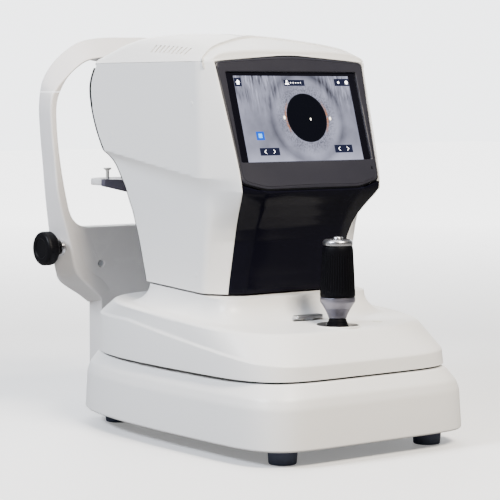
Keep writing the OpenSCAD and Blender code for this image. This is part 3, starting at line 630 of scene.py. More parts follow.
base_profile = soften([(1.6, BASE_Z0), (0, BASE_Z0 + 1.6), (2, 57.5), (4.6, 67), (13.5, BASE_Z1),
                       (30, BASE_Z1)], [0.8, 1.2, 3.0, 2.6, 2.2, 0], 6, False)
base_rings = [base_ring(i, z) for i, z in base_profile]
base = make("base_shell", *walled(base_rings, SHELL_WALL, (0, -50, 40), closed=True, cap=True),
            WHITE, "base", "white_shell", ["base_cover"])
# openings for the mains inlet on the right and the face rest's foot at the rear
inlet_turn = Matrix.Translation((124.6, 70, 40)) @ Matrix.Rotation(math.radians(8.8), 4, "Z")
cut(base, *placed(block((-8, -34, -17), (20, 34, 17)), inlet_turn), crossing=True)
cut(base, *block((-56, base_hi[1] - 12, 0), (56, base_hi[1] + 5, 26)), crossing=True)

foot_lo, foot_hi = box("feet")
FOOT_R = 14.0
feet_at = [(s * (foot_hi[0] - FOOT_R - 1), foot_lo[1] + FOOT_R + 1) for s in (-1, 1)]
feet_at += [(s * 80.0, foot_hi[1] - FOOT_R - 1) for s in (-1, 1)]
foot_prof = soften([(0, 0.8), (8, 0.8), (9, 0), (FOOT_R - 0.8, 0), (FOOT_R, 1.0), (FOOT_R + 1, 13),
                    (FOOT_R + 1, BASE_Z0), (5, BASE_Z0), (5, foot_hi[2]), (0, foot_hi[2])],
                   [0, 0, 0.3, 0.8, 0.8, 0.5, 0, 0, 0, 0], 4, False)
feet = [placed(lathe(foot_prof, 64), Matrix.Translation((x, y, 0))) for x, y in feet_at]
make("rubber_feet", *joined(*feet), FOOT, "base", "foot_rubber", ["feet"])

# ---- stage ----------------------------------------------------------------------------

STAGE_A = stage_hi[0]
NECK_FLARE = 17.0


def rim_z(y):
    """Height of the stage's sloping rim."""
    return 98 + 0.112 * (min(y, 17) + 218)


def deck_z(y):
    """Height of the stage's deck."""
    return 125.5 + 0.066 * (y + 198)


def stage_outline(inset):
    return outline(STAGE_A - inset, 170.6 - inset, 192.1 - inset, 5.5, 0.182, WIDE_Y)


def shoulder_outline(inset):
    return outline(128 - inset, 149 - inset, 146 - inset, 4, 0, -49)


def neck_outline(grow):
    return outline(97.5 + grow, 75 + grow * 1.45, 75 + grow, 9, 0, -38)


def cut_z(y):
    """Height of the head's sloping underside."""
    return 155 + 0.055 * (y + 107)


def neck_top_z(y):
    """Height of the neck's top, just under the head."""
    return cut_z(y) - 1.4


def stage_rings():
    """The stage from its lower rim over the shoulder and the deck to the neck's top."""
    rim0, rim1, rim2 = stage_outline(0.6), stage_outline(0.0), stage_outline(1.4)
    lip = stage_outline(3.2)
    sh0, sh1, sh2 = shoulder_outline(-1.0), shoulder_outline(2.5), shoulder_outline(9.0)
    foot = neck_outline(NECK_FLARE)
    columns = []
    for i in range(RING):
        z0 = stage_lo[2] + 0.7
        zr = rim_z(rim1[i][1])
        guide = [(*rim0[i], z0), (*rim1[i], z0 + 0.8), (*rim2[i], zr - 1.0), (*lip[i], zr + 1.4),
                 (*sh0[i], deck_z(sh0[i][1]) - 2.2), (*sh1[i], deck_z(sh1[i][1]) - 0.1),
                 (*sh2[i], deck_z(sh2[i][1])), (*foot[i], deck_z(foot[i][1]))]
        columns.append(soften(guide, [0, 0.4, 1.3, 2.2, 3.0, 3.0, 0, 0], 5, False))
    flare = []
    steps = 12
    top = neck_outline(0.0)
    for k in range(1, steps + 1):
        phi = math.pi / 2 * (1 - k / steps)
        ring = neck_outline(NECK_FLARE * (1 - math.cos(phi)))
        row = []
        for i in range(RING):
            zt = neck_top_z(top[i][1])
            zd = deck_z(foot[i][1])
            row.append((ring[i][0], ring[i][1], zt - (zt - zd) * math.sin(phi)))
        flare.append(row)
    rings = [[c[k] for c in columns] for k in range(len(columns[0]))] + flare
    for inset in (1.2, 4, 14, 30):
        rings.append([(x, y, neck_top_z(y)) for x, y in neck_outline(-inset)])
    return rings


stage_walls = walled(stage_rings(), SHELL_WALL, (0, -50, 100), closed=True, cap=True)
stage = make("stage_shell", *stage_walls, WHITE, "stage", "white_shell", ["stage_cover"])

skirt = [[(x, y, z) for x, y in stage_outline(inset)] for inset, z in
         ((3.7, 88), (3.2, 88), (3.1, 81.1), (3.3, 80.75), (3.8, 80.75), (4.1, 81.2), (4.1, 88))]
make("stage_skirt", *loft(skirt + [skirt[0]], caps=False), BLACK, "stage", "black_plastic")

stick_lo, stick_hi = box("joystick_grip")
at_stick = Matrix.Translation(((stick_lo[0] + stick_hi[0]) / 2, (stick_lo[1] + stick_hi[1]) / 2, 0))
btn_lo, btn_hi = box("print_button")
at_button = Matrix.Translation(((btn_lo[0] + btn_hi[0]) / 2, (btn_lo[1] + btn_hi[1]) / 2, 0))
lev_lo, lev_hi = box("lock_lever")
LEV = (lev_lo + lev_hi) / 2
sleeve_lo, sleeve_hi = box("lift_sleeve")


def rod(r, z0, z1, n=64):
    return lathe([(0, z0), (r, z0), (r, z1), (0, z1)], n)


cut(stage, *placed(rod(21.5, 100, 150, 96), at_stick))
cut(stage, *placed(rod(5.4, 100, 150, 48), at_button))
cut(stage, *block((LEV[0] - 20, LEV[1] - 3, 110), (LEV[0] + 20, LEV[1] + 3, 150)))
cut(stage, *block((sleeve_lo[0] - 1.5, sleeve_lo[1] - 1.5, 140),
                  (sleeve_hi[0] + 1.5, sleeve_hi[1] + 1.5, 190)))
door_at = Matrix.Translation((132, 0, 90)) @ Matrix.Rotation(math.radians(7), 4, "Z")
cut(stage, *placed(block((-14, -0.5, -0.5), (12, 58.5, 30.5)), door_at))

hole_z = deck_z(at_stick.translation[1])
turned("stick_opening_ring", ring_profile(
    [(21.45, hole_z - 7), (23.4, hole_z - 7), (23.4, hole_z + 0.15), (22.6, hole_z + 0.75),
     (21.45, hole_z + 0.2)], 0.3), at_stick, WHITE, "stage", "white_shell")

# ---- joystick -------------------------------------------------------------------------

cone_lo, cone_hi = box("joystick_cone")
boot_lo, boot_hi = box("joystick_boot")
cap_lo, cap_hi = box("joystick_cap")
trig_lo, trig_hi = box("trigger_button")
GR = (stick_hi[0] - stick_lo[0]) / 2


def ribs(a, z):
    """Flutes that run up the grip and fade out at both ends."""
    fade = min(1.0, max(0.0, (z - g0 - 4) / 3)) * min(1.0, max(0.0, (g1 - 6 - z) / 4))
    w = 0.5 - 0.5 * math.cos(40 * a)
    return 0.75 * fade * w ** 2


g0, g1 = stick_lo[2], stick_hi[2]
grip_prof = [(4.1, g0), (GR - 0.9, g0), (GR - 0.25, g0 + 0.3), (GR, g0 + 1.1)]
grip_prof += [(GR - 2.3 * ((k / 22) ** 1.15), g0 + 2.4 + (g1 - g0 - 6) * k / 22) for k in range(23)]
grip_prof += [(15.2, g1 - 1.4), (14.6, g1 - 0.2), (13.8, g1), (4.7, g1), (4.1, g1 - 7), (4.1, g0)]
turned("grip_sleeve", grip_prof, at_stick, GRIP, "grip", "grip_rubber", ["joystick_grip"], 320,
       ribs, 50)

c0, c1 = cap_lo[2], cap_hi[2]
cap_prof = [(5.6, c0), (14.2, c0), (15.0, c0 + 0.5), (15.2, c0 + 1.2), (15.2, c0 + 3.6),
            (14.9, c0 + 4.6), (14.0, c0 + 5.6), (12.8, c1 - 0.15), (11.6, c1), (8.2, c1),
            (7.6, c1 - 0.2), (7.2, c1 - 1.1), (5.6, c1 - 1.3), (5.6, c0)]
turned("grip_cap", cap_prof, at_stick, CHROME, "grip", "chrome", ["joystick_cap"])
t0, t1 = trig_lo[2], trig_hi[2]
trig_prof = [(0, t0), (5.3, t0), (5.3, t1 - 1.6), (5.0, t1 - 0.8), (4.3, t1 - 0.25),
             (3.2, t1 - 0.02), (2.2, t1 - 0.25), (0, t1 - 0.6)]
turned("measure_button", trig_prof, at_stick, CHROME, "trigger", "chrome", ["trigger_button"], 64)

n0, n1 = cone_lo[2], cone_hi[2]
CR = (cone_hi[0] - cone_lo[0]) / 2
cone_prof = [(4.05, n0), (8.6, n0), (9.2, n0 + 0.5)]
for k in range(25):
    t = k / 24
    r = 9.4 + (CR - 10.2) * (t ** 1.25)
    z = n0 + 0.8 + (n1 - n0 - 6.5) * t
    if t < 0.62 and k % 2 == 0:
        cone_prof += [(r, z), (r - 0.22, z + 0.16), (r + 0.12, z + 0.4)]
    else:
        cone_prof.append((r, z))
cone_prof += [(CR - 0.35, n1 - 5.2), (CR - 0.1, n1 - 4.6), (CR, n1 - 4.0), (CR, n1 - 1.6),
              (CR - 0.5, n1 - 1.2), (CR - 0.5, n1 - 0.9), (CR, n1 - 0.6), (CR - 0.1, n1 - 0.1),
              (CR - 0.6, n1), (4.05, n1), (4.05, n0)]
turned("stick_cone", cone_prof, at_stick, SATIN, "stick", "satin_metal", ["joystick_cone"], 120,
       sharp=25)

b0, b1 = boot_lo[2], boot_hi[2]
boot_prof = [(4.05, b0)]
for k in range(41):
    t = k / 40
    r = 13.9 - 5.2 * t ** 0.75 + 0.35 * math.sin(t * 7 * 2 * math.pi) * (1 - 0.5 * t)
    boot_prof.append((r, b0 + (b1 - b0) * t))
boot_prof += [(4.05, b1), (4.05, b0)]
turned("stick_boot", boot_prof, at_stick, GRIP, "stick", "grip_rubber", ["joystick_boot"])
turned("stick_seal", ring_profile([(14.2, 112.6), (21.3, 112.6), (21.3, 121.5), (20.2, 121.5),
                                   (17.5, 116.5), (14.2, 115.6)], 0.5),
       at_stick, BLACK, "stage", "black_plastic")

# lever and print button
lev_w, lev_d = (lev_hi[0] - lev_lo[0]) / 2, (lev_hi[1] - lev_lo[1]) / 2


def plate_rings(cx, cy, w, d, r, levels):
    """Rings of a plate with rounded corners; levels are insets and heights."""
    rings = []
    for inset, z in levels:
        a, b = w - inset, d - inset
        corners = soften([(-a, -b), (a, -b), (a, b), (-a, b)], max(0.3, r - inset), 6)
        rings.append([(cx + p[0], cy + p[1], z) for p in corners])
    return rings


top = lev_hi[2]
lever_levels = [(0.5, top - 3.8), (0, top - 3.3), (0, top - 1.2), (0.25, top - 0.55),
                (0.8, top - 0.12), (1.4, top), (2.0, top - 0.05), (2.4, top - 0.5),
                (2.6, top - 0.55)]
lever = joined(loft(plate_rings(LEV[0], LEV[1], lev_w, lev_d, 1.6, lever_levels)),
               block((LEV[0] - 5, LEV[1] - 2.4, lev_lo[2]), (LEV[0] + 5, LEV[1] + 2.4, top - 3.6)))
make("stage_lock", *lever, STEEL, "lock_lever", "chrome", ["lock_lever"])
bt = btn_hi[2]
key_face = lathe([(0, 119), (5, 119), (5, bt - 0.6), (4.6, bt - 0.15), (4.0, bt), (2.5, bt - 0.2),
                  (0, bt - 0.45)], 64)
key = joined(rod(7, 113, 115.4, 48), rod(3, 115, 120, 48), key_face)
make("print_key", *placed(key, at_button), CREAM, "print_button", "button_plastic",
     ["print_button"])

# ---- head -----------------------------------------------------------------------------

SEAM = 395.0  # height of the joint between the sides and the crown
# Height, front boundary's half-width, front Y, Y of the facet's edge, rear Y.
LEVELS = [
    (150, 78, -88.0, -73, 37), (174, 77, -91.0, -76, 43), (211, 76, -97.5, -82, 53),
    (225, 78, -103.0, -84, 58), (236, 80.8, -109.5, -86, 62), (248, 85.6, -119.0, -86.5, 68.3),
    (257, 89.5, -127.0, -85.5, 72.6), (263.5, 91.8, -131.6, -84.5, 76),
    (271.5, 92.3, -131.0, -84.0, 82), (285, 93, -128.2, -83.5, 92), (303, 94, -123.1, -82.8, 107),
    (329, 95.5, -115.1, -82, 122), (356, 97, -106.5, -81, 131), (375, 98, -100.4, -80, 131),
    (396, 99.3, -93.8, -79, 119), (409, 99.3, -89.6, -77, 107)]
HEAD_A = box("head_left_cover")[0][0] * -1
REAR_R = 16.0
CREASE = 8.0
SIDE_N = 44


def front_y(z):
    return sample(LEVELS, z, 2)


def rear_y(z):
    return smooth_sample(LEVELS, z, 4)


def side_x(y, z):
    """Half-width of the side at Y and Z, with the two creases low on it."""
    z1 = 287.9 + 0.14 * y
    z2 = 261.2 + 0.235 * y
    inset = 0.0
    if z < z1:
        u = min(1.0, (z1 - z) / max(6.0, z1 - z2))
        inset = CREASE * (1 - (1 - u) ** 3.0)
    if z < z2:
        inset = CREASE + 3.6 * (z2 - z) / (z2 - 150)
    return HEAD_A - inset


def side_path(z, whole=False):
    """Plan points at z from the front boundary round the facet and side to the rear panel."""
    l, f = sample(LEVELS, z, 1), front_y(z)
    fy, b = sample(LEVELS, z, 3), rear_y(z)
    pts = [(l - 1.2, f - 0.1), (l, f + 0.35)]
    x_edge = side_x(fy, z)
    pts += [(l + (x_edge - l) * t, f + (fy - f) * t) for t in (0.04, 0.2, 0.4, 0.6, 0.8)]
    corner = np.array([x_edge, fy])
    d0 = corner - np.array([l, f])
    d0 = d0 / np.linalg.norm(d0)
    p0, p2 = corner - d0 * 6, np.array([side_x(fy + 6, z), fy + 6])
    for k in range(7):
        t = k / 6
        pts.append((1 - t) ** 2 * p0 + 2 * t * (1 - t) * corner + t * t * p2)
    y0, y1 = fy + 6, b - REAR_R
    for k in range(1, SIDE_N + 1):
        y = y0 + (y1 - y0) * k / SIDE_N
        pts.append((side_x(y, z), y))
    w = side_x(y1, z)
    turn = math.pi / 2 if whole else math.asin(1 - panel_depth(z) / REAR_R)
    for k in range(1, 11):
        a = turn * k / 10
        pts.append((w - REAR_R + REAR_R * math.cos(a), y1 + REAR_R * math.sin(a)))
    return pts


def panel_depth(z):
    """How far in from the rear the sides end, beside the patient's panel."""
    return float(np.interp(z, [255, 300, 346, 350], [11.0, 13.6, 13.8, 15.2]))


START_Z = 160.0  # first guess where a height and a place depend on each other


def side_rings():
    """Rings up one side of the head; each point's lowest height follows the sloping underside."""
    rings = []
    for v in np.linspace(0, 1, 100):
        row = []
        for i in range(len(plan_path(START_Z))):
            z = START_Z
            for _ in range(3):
                x, y = plan_path(z)[i]
                z = cut_z(y) + 0.6 + (SEAM - 0.8 - cut_z(y)) * v
            row.append((x, y, z))
        rings.append(row)
    return rings


paths = {}


def plan_path(z, whole=False):
    """side_path() between half-millimetre steps, kept for reuse."""
    lo = math.floor(z * 2)
    for q in (lo, lo + 1):
        if (q, whole) not in paths:
            paths[q, whole] = np.array(side_path(q / 2, whole))
    t = z * 2 - lo
    return paths[lo, whole] * (1 - t) + paths[lo + 1, whole] * t


right_rings = side_rings()
left_rings = [[(-x, y, z) for x, y, z in r] for r in right_rings]
for name, rings, node in (("head_side_left", left_rings, "head_left_cover"),
                          ("head_side_right", right_rings, "head_right_cover")):
    make(name, *walled(rings, 2.6, (0, 0, 280)), WHITE, "head", "white_shell", [node], sharp=16)


# crown
# Distance from the middle, and the crown's height there as a share of its full height.
CROWN = [(0, 1.0), (30, 0.985), (60, 0.91), (75, 0.835), (85, 0.74), (92, 0.6), (98, 0.415),
         (104, 0.2), (109, 0.0)]
HEAD_TOP = 427.3


def crown_z(x, y):
    drop = (0.0042 if y > 47 else 0.00105) * (y - 47) ** 2
    share = smooth_sample(CROWN, min(abs(x), 109), 1)
    return SEAM + max(1.0, HEAD_TOP - drop - SEAM) * max(0.0, share)


def crown_outline(z):
    """Closed plan outline of the head at z, anticlockwise from the front's middle."""
    p = [tuple(q) for q in plan_path(z, True)]
    front = [(p[0][0] * t, front_y(z)) for t in np.linspace(0, 1, 16)][:-1]
    back_y = p[-1][1]
    rear = [(p[-1][0] * t, back_y) for t in np.linspace(1, 0, 14)][1:-1]
    half = front + p + rear
    mirrored = [(-x, y) for x, y in reversed(half)]
    return half + [(0.0, back_y)] + mirrored[:-1]


low_ring = crown_outline(395.2)
ring0, tops = [], []
for i, (x, y) in enumerate(low_ring):
    on_front = min(i, len(low_ring) - i) < 17
    z_low = 402.9 - 7.5 * abs(x) / 99.2 if on_front else SEAM + 0.2
    z_top = max(crown_z(x, y), z_low + 0.3)
    a, b = crown_outline(z_low)[i], crown_outline(min(408.5, z_top))[i]
    ring0.append((a[0], a[1], z_low))
    tops.append((b[0], b[1], z_top))
crown_rings = [ring0]
EDGE_R = 3.5
for e in (-1, 0.35, 0.9, 1.7, 2.6, 3.6, 5.5, 8, 12, 17, 24, 32, 41, 51, 62, 74, 87, 99, 110):
    row = []
    for (x0, y0, z_low), (x1, y1, z_top) in zip(ring0, tops):
        spine = np.array([0.0, min(55.0, max(-25.0, y1 * 0.8))])
        p = np.array([x1, y1])
        q = p + (spine - p) * max(0.0, e) / 113
        d = np.linalg.norm(q - p)
        z = crown_z(q[0], q[1])
        wall = max(0.0, z_top - z_low)
        r = min(EDGE_R, wall)
        if e < 0:
            z = z_top - r if r > 0 else z_top
        elif d < r:
            z = z - (r - math.sqrt(max(0.0, r * r - (r - d) ** 2)))
        row.append((q[0], q[1], max(z, z_low + 0.02 * len(crown_rings))))
    crown_rings.append(row)
top_cover = make("head_crown", *walled(crown_rings, 2.4, (0, 20, 380), closed=True, cap=True),
                 WHITE, "head", "white_shell", ["head_top_cover"], sharp=30)
for s in (-1, 1):
    slots = []
    for i in range(9):
        y = -46 + 7.6 * i
        m = (Matrix.Translation((s * 96.5, y, crown_z(96.5, y)))
             @ Matrix.Rotation(s * math.radians(46), 4, "Y"))
        slots.append(placed(block((-5.5, -1.3, -6), (5.5, 1.3, 6)), m))
    cut(top_cover, *joined(*slots))

# black front panel under the screen
PANEL_TOP = 262.8


def panel_front(x, z):
    """Y of the panel: flat in the middle, falling back beyond its soft side edges."""
    l = sample(LEVELS, z, 1)
    proud = np.interp(z, [150, 211, 236, 263.5, 275], [7.0, 8.5, 8.0, 4.4, 2.2])
    mid = front_y(z) - float(proud)
    xf = float(np.interp(z, [150, 211, 244, 263.5], [61, 58, 58, 62.5]))
    edge = front_y(z) + 0.3
    a = abs(x)
    if a <= xf - 3:
        return mid
    if a < xf + 3:
        u = (a - xf + 3) / 6
        return mid + (edge - mid) * 3 / (l - xf) * u * u
    return mid + (edge - mid) * (a - xf) / (l - xf)


rows = []
cols = [-1, -0.995, -0.97, -0.9, -0.8, *np.linspace(-0.76, -0.52, 14), -0.35, -0.15]
cols += [-c for c in reversed(cols)]
for v in np.linspace(0, 1, 60):
    row = []
    for c in cols:
        z = START_Z
        for _ in range(3):
            l = sample(LEVELS, z, 1) - 0.45
            x = c * l
            y = panel_front(x, z)
            top_z = PANEL_TOP + 8.2 * max(0.0, abs(x) - 62.0) / 30.0
            z = cut_z(y) + 0.6 + (top_z - cut_z(y) - 0.6) * v
        row.append((x, y, z))
    rows.append(row)
make("front_fascia", *walled(rows, 3.2, (0, 0, 220), r=0.7), BLACK_GLOSS, "head", "black_gloss",
     ["front_panel"], sharp=40)

# underside closing plate of the head, hollowed towards its middle
p = plan_path(158)
half = [(0, front_y(158) + 4)] + [(x - 2.8, y + (2 if i < 6 else 0)) for i, (x, y) in enumerate(p)]
half = [q for q in half if q[0] >= 0] + [(0, p[-1][1] - 4)]
loop = half + [(-x, y) for x, y in reversed(half[1:-1])]
UNDER_Y = -36
under = []
for k, dz in ((1.0, 1.4), (1.0, -0.6), (0.995, -1.0), (0.72, -1.0), (0.7, 1.4)):
    ring = [(x * k, UNDER_Y + (y - UNDER_Y) * k) for x, y in loop]
    under.append([(x, y, cut_z(y) + 1.2 + dz) for x, y in ring])
make("head_underside", *loft(under), BLACK, "head", "black_plastic")

# ---- screen ---------------------------------------------------------------------------

TILT = math.radians(17)
SCREEN_Y, SCREEN_Z = -109.2, 336.7
on_screen = (Matrix.Translation((0, SCREEN_Y, SCREEN_Z))
             @ Matrix.Rotation(math.pi / 2 - TILT, 4, "X"))
COS = math.cos(TILT)


def s_of(z):
    """Distance up the screen's plane from its middle, for a height."""
    return (z - SCREEN_Z) / COS


BEZ_OUT = [(0, s_of(402.5)), (-99.0, s_of(395.0)), (-92.0, s_of(271.6)), (-62.7, s_of(263.7)),
           (62.7, s_of(263.7)), (92.0, s_of(271.6)), (99.0, s_of(395.0))]
BEZ_R = [30, 5.5, 7, 8, 8, 7, 5.5]
GLASS = [(-86, 49.5), (-86, -45.9), (86, -45.9), (86, 49.5)]


def ray_hit(poly, a):
    """Where a ray from the middle at an angle leaves an outline."""
    d = np.array([math.cos(a), math.sin(a)])
    best = 0.0
    for i in range(len(poly)):
        p, q = np.array(poly[i], float), np.array(poly[(i + 1) % len(poly)], float)
        e = q - p
        den = d[0] * e[1] - d[1] * e[0]
        if abs(den) < 1e-12:
            continue
        t = (p[0] * e[1] - p[1] * e[0]) / den
        u = (p[0] * d[1] - p[1] * d[0]) / den
        if t > 0 and -1e-9 <= u <= 1 + 1e-9:
            best = max(best, t)
    return d * best


outer_poly = soften(BEZ_OUT, BEZ_R, 8)
inner_poly = soften(GLASS, 1.6, 5)
angles = sorted({round(math.atan2(p[1], p[0]), 6) for p in outer_poly + inner_poly}
                | {round(-math.pi + 2 * math.pi * k / 160, 6) for k in range(160)})


def face_rise(x, s):
    """How far the bezel's face stands in front of the lit picture's plane."""
    up = max(0.0, (abs(s + 2) - 44) / 30)
    return 2.6 + 1.4 * min(1.0, up) * (1 - (x / 100.0) ** 2)


def frame_ring(inset, depth, share=None, start=outer_poly, end=inner_poly):
    """Ring between two outlines, at a depth behind the bezel's crowned face."""
    ring = []
    for a in angles:
        pa, pb = ray_hit(start, a), ray_hit(end, a)
        gap = np.linalg.norm(pa - pb)
        p = pa + (pb - pa) * min(1.0, inset / gap if share is None else share)
        ring.append((p[0], p[1], face_rise(p[0], p[1]) - depth))
    return ring


# Insets from the outer outline and depths, the same from the glass, and the gasket's.
EDGE = [(1.5, 9.0), (1.5, 3.2), (1.6, 1.6), (1.9, 0.7), (2.6, 0.25), (4.1, 0.12), (4.4, 0.45),
        (4.8, 0.45), (5.2, 0.0)]
LIP = [(1.1, 0.05), (0.4, 0.5), (0.0, 1.3), (0.0, 9.0)]
GASKET = [(0.1, 8.8), (0.1, 1.9), (0.3, 1.6), (2.6, 1.6), (2.8, 1.9), (2.8, 8.8)]
bez_rings = [frame_ring(i, d) for i, d in EDGE]
bez_rings += [frame_ring(0, 0.0, share) for share in (0.5, 0.8)]
bez_rings += [frame_ring(i, d, None, inner_poly, outer_poly) for i, d in LIP]
bezel_obj = make("screen_frame", *placed(loft(bez_rings + [bez_rings[0]], caps=False), on_screen),
                 BEZEL, "head", "bezel_plastic", ["screen_bezel"], sharp=30)
gasket = [frame_ring(i, d) for i, d in GASKET]
make("screen_gasket", *placed(loft(gasket + [gasket[0]], caps=False), on_screen), BLACK, "head",
     "black_plastic")
mic = on_screen @ Matrix.Translation((83.5, -55.5, 3))
cut(bezel_obj, *placed(block((-0.9, -1.6, -8), (0.9, 1.6, 8)), mic), sharp=30)

glass_rings = []
for inset, z in ((0, -1.0), (0, 0.1), (0.25, 0.35), (0.7, 0.45)):
    x0, x1, s0, s1 = -85.7 + inset, 85.7 - inset, -45.6 + inset, 49.2 - inset
    corners = soften([(x0, s1), (x0, s0), (x1, s0), (x1, s1)], 1.4, 4)
    glass_rings.append([(p[0], p[1], z) for p in corners])


def black_glass():
    t = Tree("screen_mask")
    b = t.bsdf
    b.inputs["Specular IOR Level"].default_value = 0.12
    t.link(t.mix(t.noise(9.0), (0.002, 0.002, 0.004), (0.006, 0.006, 0.01)), b.inputs["Base Color"])
    t.link(t.ramp(t.noise(40.0, 5.0), 0.3, 0.7, 0.05, 0.12), b.inputs["Roughness"])
    return t.mat


make("screen_cover", *placed(loft(glass_rings), on_screen), black_glass(), "head", "screen_glass",
     ["screen_glass"])


def glow(name, color, strength=1.0):
    """Lit mark on the screen."""
    t = Tree(name)
    b = t.bsdf
    t.link(t.mix(t.noise(300.0), rgb_scaled(color, 0.92), color), b.inputs["Base Color"])
    b.inputs["Roughness"].default_value = 0.2
    b.inputs["Emission Color"].default_value = (*color, 1)
    b.inputs["Emission Strength"].default_value = strength
    b.inputs["Specular IOR Level"].default_value = 0.1
    return t.mat


def eye_picture():
    """Grey close view of an eye: dark pupil, speckled iris, soft ring, lashes and lids."""
    t = Tree("eye_picture")
    b = t.bsdf
    vec = t.nodes.new("ShaderNodeUVMap").outputs["UV"]
    sep = t.nodes.new("ShaderNodeSeparateXYZ")
    t.link(vec, sep.inputs[0])
    x, y = sep.outputs[0], sep.outputs[1]
    px, py = t.sub(x, 10.0), t.sub(y, 0.5)
    r = t.length(px, py)
    grey = t.ramp(t.noise(0.03, 4.0, vec), 0.32, 0.68, 0.26, 0.48)
    grey = t.sub(grey, t.mul(t.band(r, 47.0, 7.0), 0.19))
    grey = t.add(grey, t.ramp(r, 44.0, 30.0, 0.0, 0.05))
    # specks of the iris, in polar coordinates
    polar = t.nodes.new("ShaderNodeCombineXYZ")
    t.link(t.mul(t.math("ARCTAN2", py, px), 14.0), polar.inputs[0])
    t.link(t.mul(r, 0.3), polar.inputs[1])
    speck = t.noise(1.3, 3.0, polar.outputs[0], 0.7)
    near = t.mul(t.ramp(r, 41.0, 30.0), t.ramp(speck, 0.47, 0.58))
    grey = t.sub(grey, t.mul(near, 0.22))
    # lashes on the lids, to both sides of the eye
    lash = t.nodes.new("ShaderNodeMapping")
    lash.inputs["Scale"].default_value = (0.34, 0.035, 1.0)
    lash.inputs["Rotation"].default_value = (0, 0, 0.25)
    t.link(vec, lash.inputs["Vector"])
    streak = t.noise(1.0, 3.0, lash.outputs["Vector"], 0.6)
    side = t.math("ABSOLUTE", px)
    lid = t.mul(t.ramp(y, 2.0, 40.0), t.ramp(side, 18.0, 48.0))
    grey = t.sub(grey, t.mul(t.mul(lid, t.ramp(streak, 0.53, 0.62)), 0.28))
    grey = t.add(grey, t.mul(t.mul(lid, t.ramp(streak, 0.46, 0.38)), 0.3))
    grey = t.add(grey, t.ramp(y, -30.0, -46.0, 0.0, 0.22))
    grain = t.ramp(t.noise(2.0, 2.0, vec), 0.3, 0.7, -0.02, 0.02)
    grey = t.mul(t.add(grey, grain, clamp=True), 1.18)
    tint = t.nodes.new("ShaderNodeCombineColor")
    for i, k in enumerate((0.94, 0.96, 1.24)):
        t.link(t.mul(grey, k), tint.inputs[i])
    # amber rim at both sides of the pupil, the pupil, and three reflected lamps
    amber = t.mul(t.band(r, 27.6, 1.8), t.ramp(t.math("DIVIDE", side, 27.0), 0.8, 0.97))
    patch = t.ramp(t.noise(0.35, 3.0, vec), 0.4, 0.55, 0.25, 1.0)
    col = t.mix(t.mul(amber, patch), tint.outputs[0], (0.8, 0.26, 0.03))
    col = t.mix(t.ramp(r, 26.6, 26.0), col, (0.002, 0.003, 0.006))
    for cx, cy, size in ((14.7, -1.0, 1.6), (-19.5, 1.0, 2.3), (41.0, -0.5, 2.3)):
        d = t.length(t.mul(t.sub(x, cx), 1.5), t.sub(y, cy))
        col = t.mix(t.ramp(d, size, size * 0.6), col, (5.0, 4.6, 3.8))
    b.inputs["Base Color"].default_value = (0.002, 0.002, 0.003, 1)
    t.link(col, b.inputs["Emission Color"])
    b.inputs["Emission Strength"].default_value = 1.0
    b.inputs["Roughness"].default_value = 0.15
    b.inputs["Specular IOR Level"].default_value = 0.03
    return t.mat


LIT = 0.55  # height of the lit picture over the screen's plane


def slab(x0, x1, s0, s1, z0=LIT, z1=LIT + 0.06):
    return block((x0, s0, z0), (x1, s1, z1))


def on_glass(name, part, mat):
    return make(name, *placed(part, on_screen), mat, "head", "screen_glass")


picture = on_glass("screen_picture", slab(-76.2, 76.2, -45.5, 45.7, LIT - 0.3, LIT), eye_picture())
uv = picture.data.uv_layers.new(name="UVMap")
inv = on_screen.inverted()
for loop in picture.data.loops:
    p = inv @ (picture.data.vertices[loop.vertex_index].co / MM)
    uv.data[loop.index].uv = (p.x, p.y)

key_boxes = [(-76, -67, 34.5, 43.5), (-12, 15.3, 35, 41.5), (56, 76, 35, 42.8),
             (-59.3, -34, -39, -31), (39.7, 63.8, -37.6, -29.2)]
on_glass("screen_keys", joined(*[slab(*b) for b in key_boxes]),
         glow("mark_navy", (0.008, 0.010, 0.026), 0.6))
on_glass("screen_key_blue", slab(-60.4, -50.2, -22.6, -13.6), glow("mark_blue", (0.001, 0.05, 0.4)))
on_glass("screen_key_pale", slab(-57.6, -53.0, -20.4, -15.8, LIT, LIT + 0.12),
         glow("mark_pale", (0.1, 0.4, 0.9)))


def flat_shape(points):
    return loft([[(x, y, LIT + lift) for x, y in points] for lift in (0.06, 0.14)])


def disc(cx, cy, r, n=24):
    turns = [2 * math.pi * k / n for k in range(n)]
    return [(cx + r * math.cos(a), cy + r * math.sin(a)) for a in turns]


def stroke(ax, ay, bx, by, w):
    d = np.array([bx - ax, by - ay], float)
    d /= np.linalg.norm(d)
    nx, ny = -d[1] * w / 2, d[0] * w / 2
    return [(ax + nx, ay + ny), (ax - nx, ay - ny), (bx - nx, by - ny), (bx + nx, by + ny)]


# generic icons: a house, a person, a row of dots, two round keys and four chevrons
marks = [[(-74.2, 38.6), (-71.5, 41.6), (-68.8, 38.6), (-70.0, 38.6), (-70.0, 36.4), (-73.0, 36.4),
          (-73.0, 38.6)],
         disc(-8.0, 39.9, 1.1), [(-10.6, 36.4), (-5.4, 36.4), (-6.2, 38.3), (-9.8, 38.3)],
         disc(61.5, 38.8, 1.3), disc(72.5, 38.8, 2.0)]
marks += [disc(-3.0 + 3.3 * k, 38.3, 0.55, 16) for k in range(5)]
for cx, cy in ((-46.6, -35.0), (51.7, -33.4)):
    for side in (-1, 1):
        x = cx + side * 5.5
        marks += [stroke(x + side * 1.4, cy, x - side * 0.9, cy + tip, 0.42) for tip in (2.1, -2.1)]
on_glass("screen_marks", joined(*[flat_shape(m) for m in marks]),
         glow("mark_white", (0.95, 0.96, 1.0), 4.0))

# ---- patient's side of the head -------------------------------------------------------

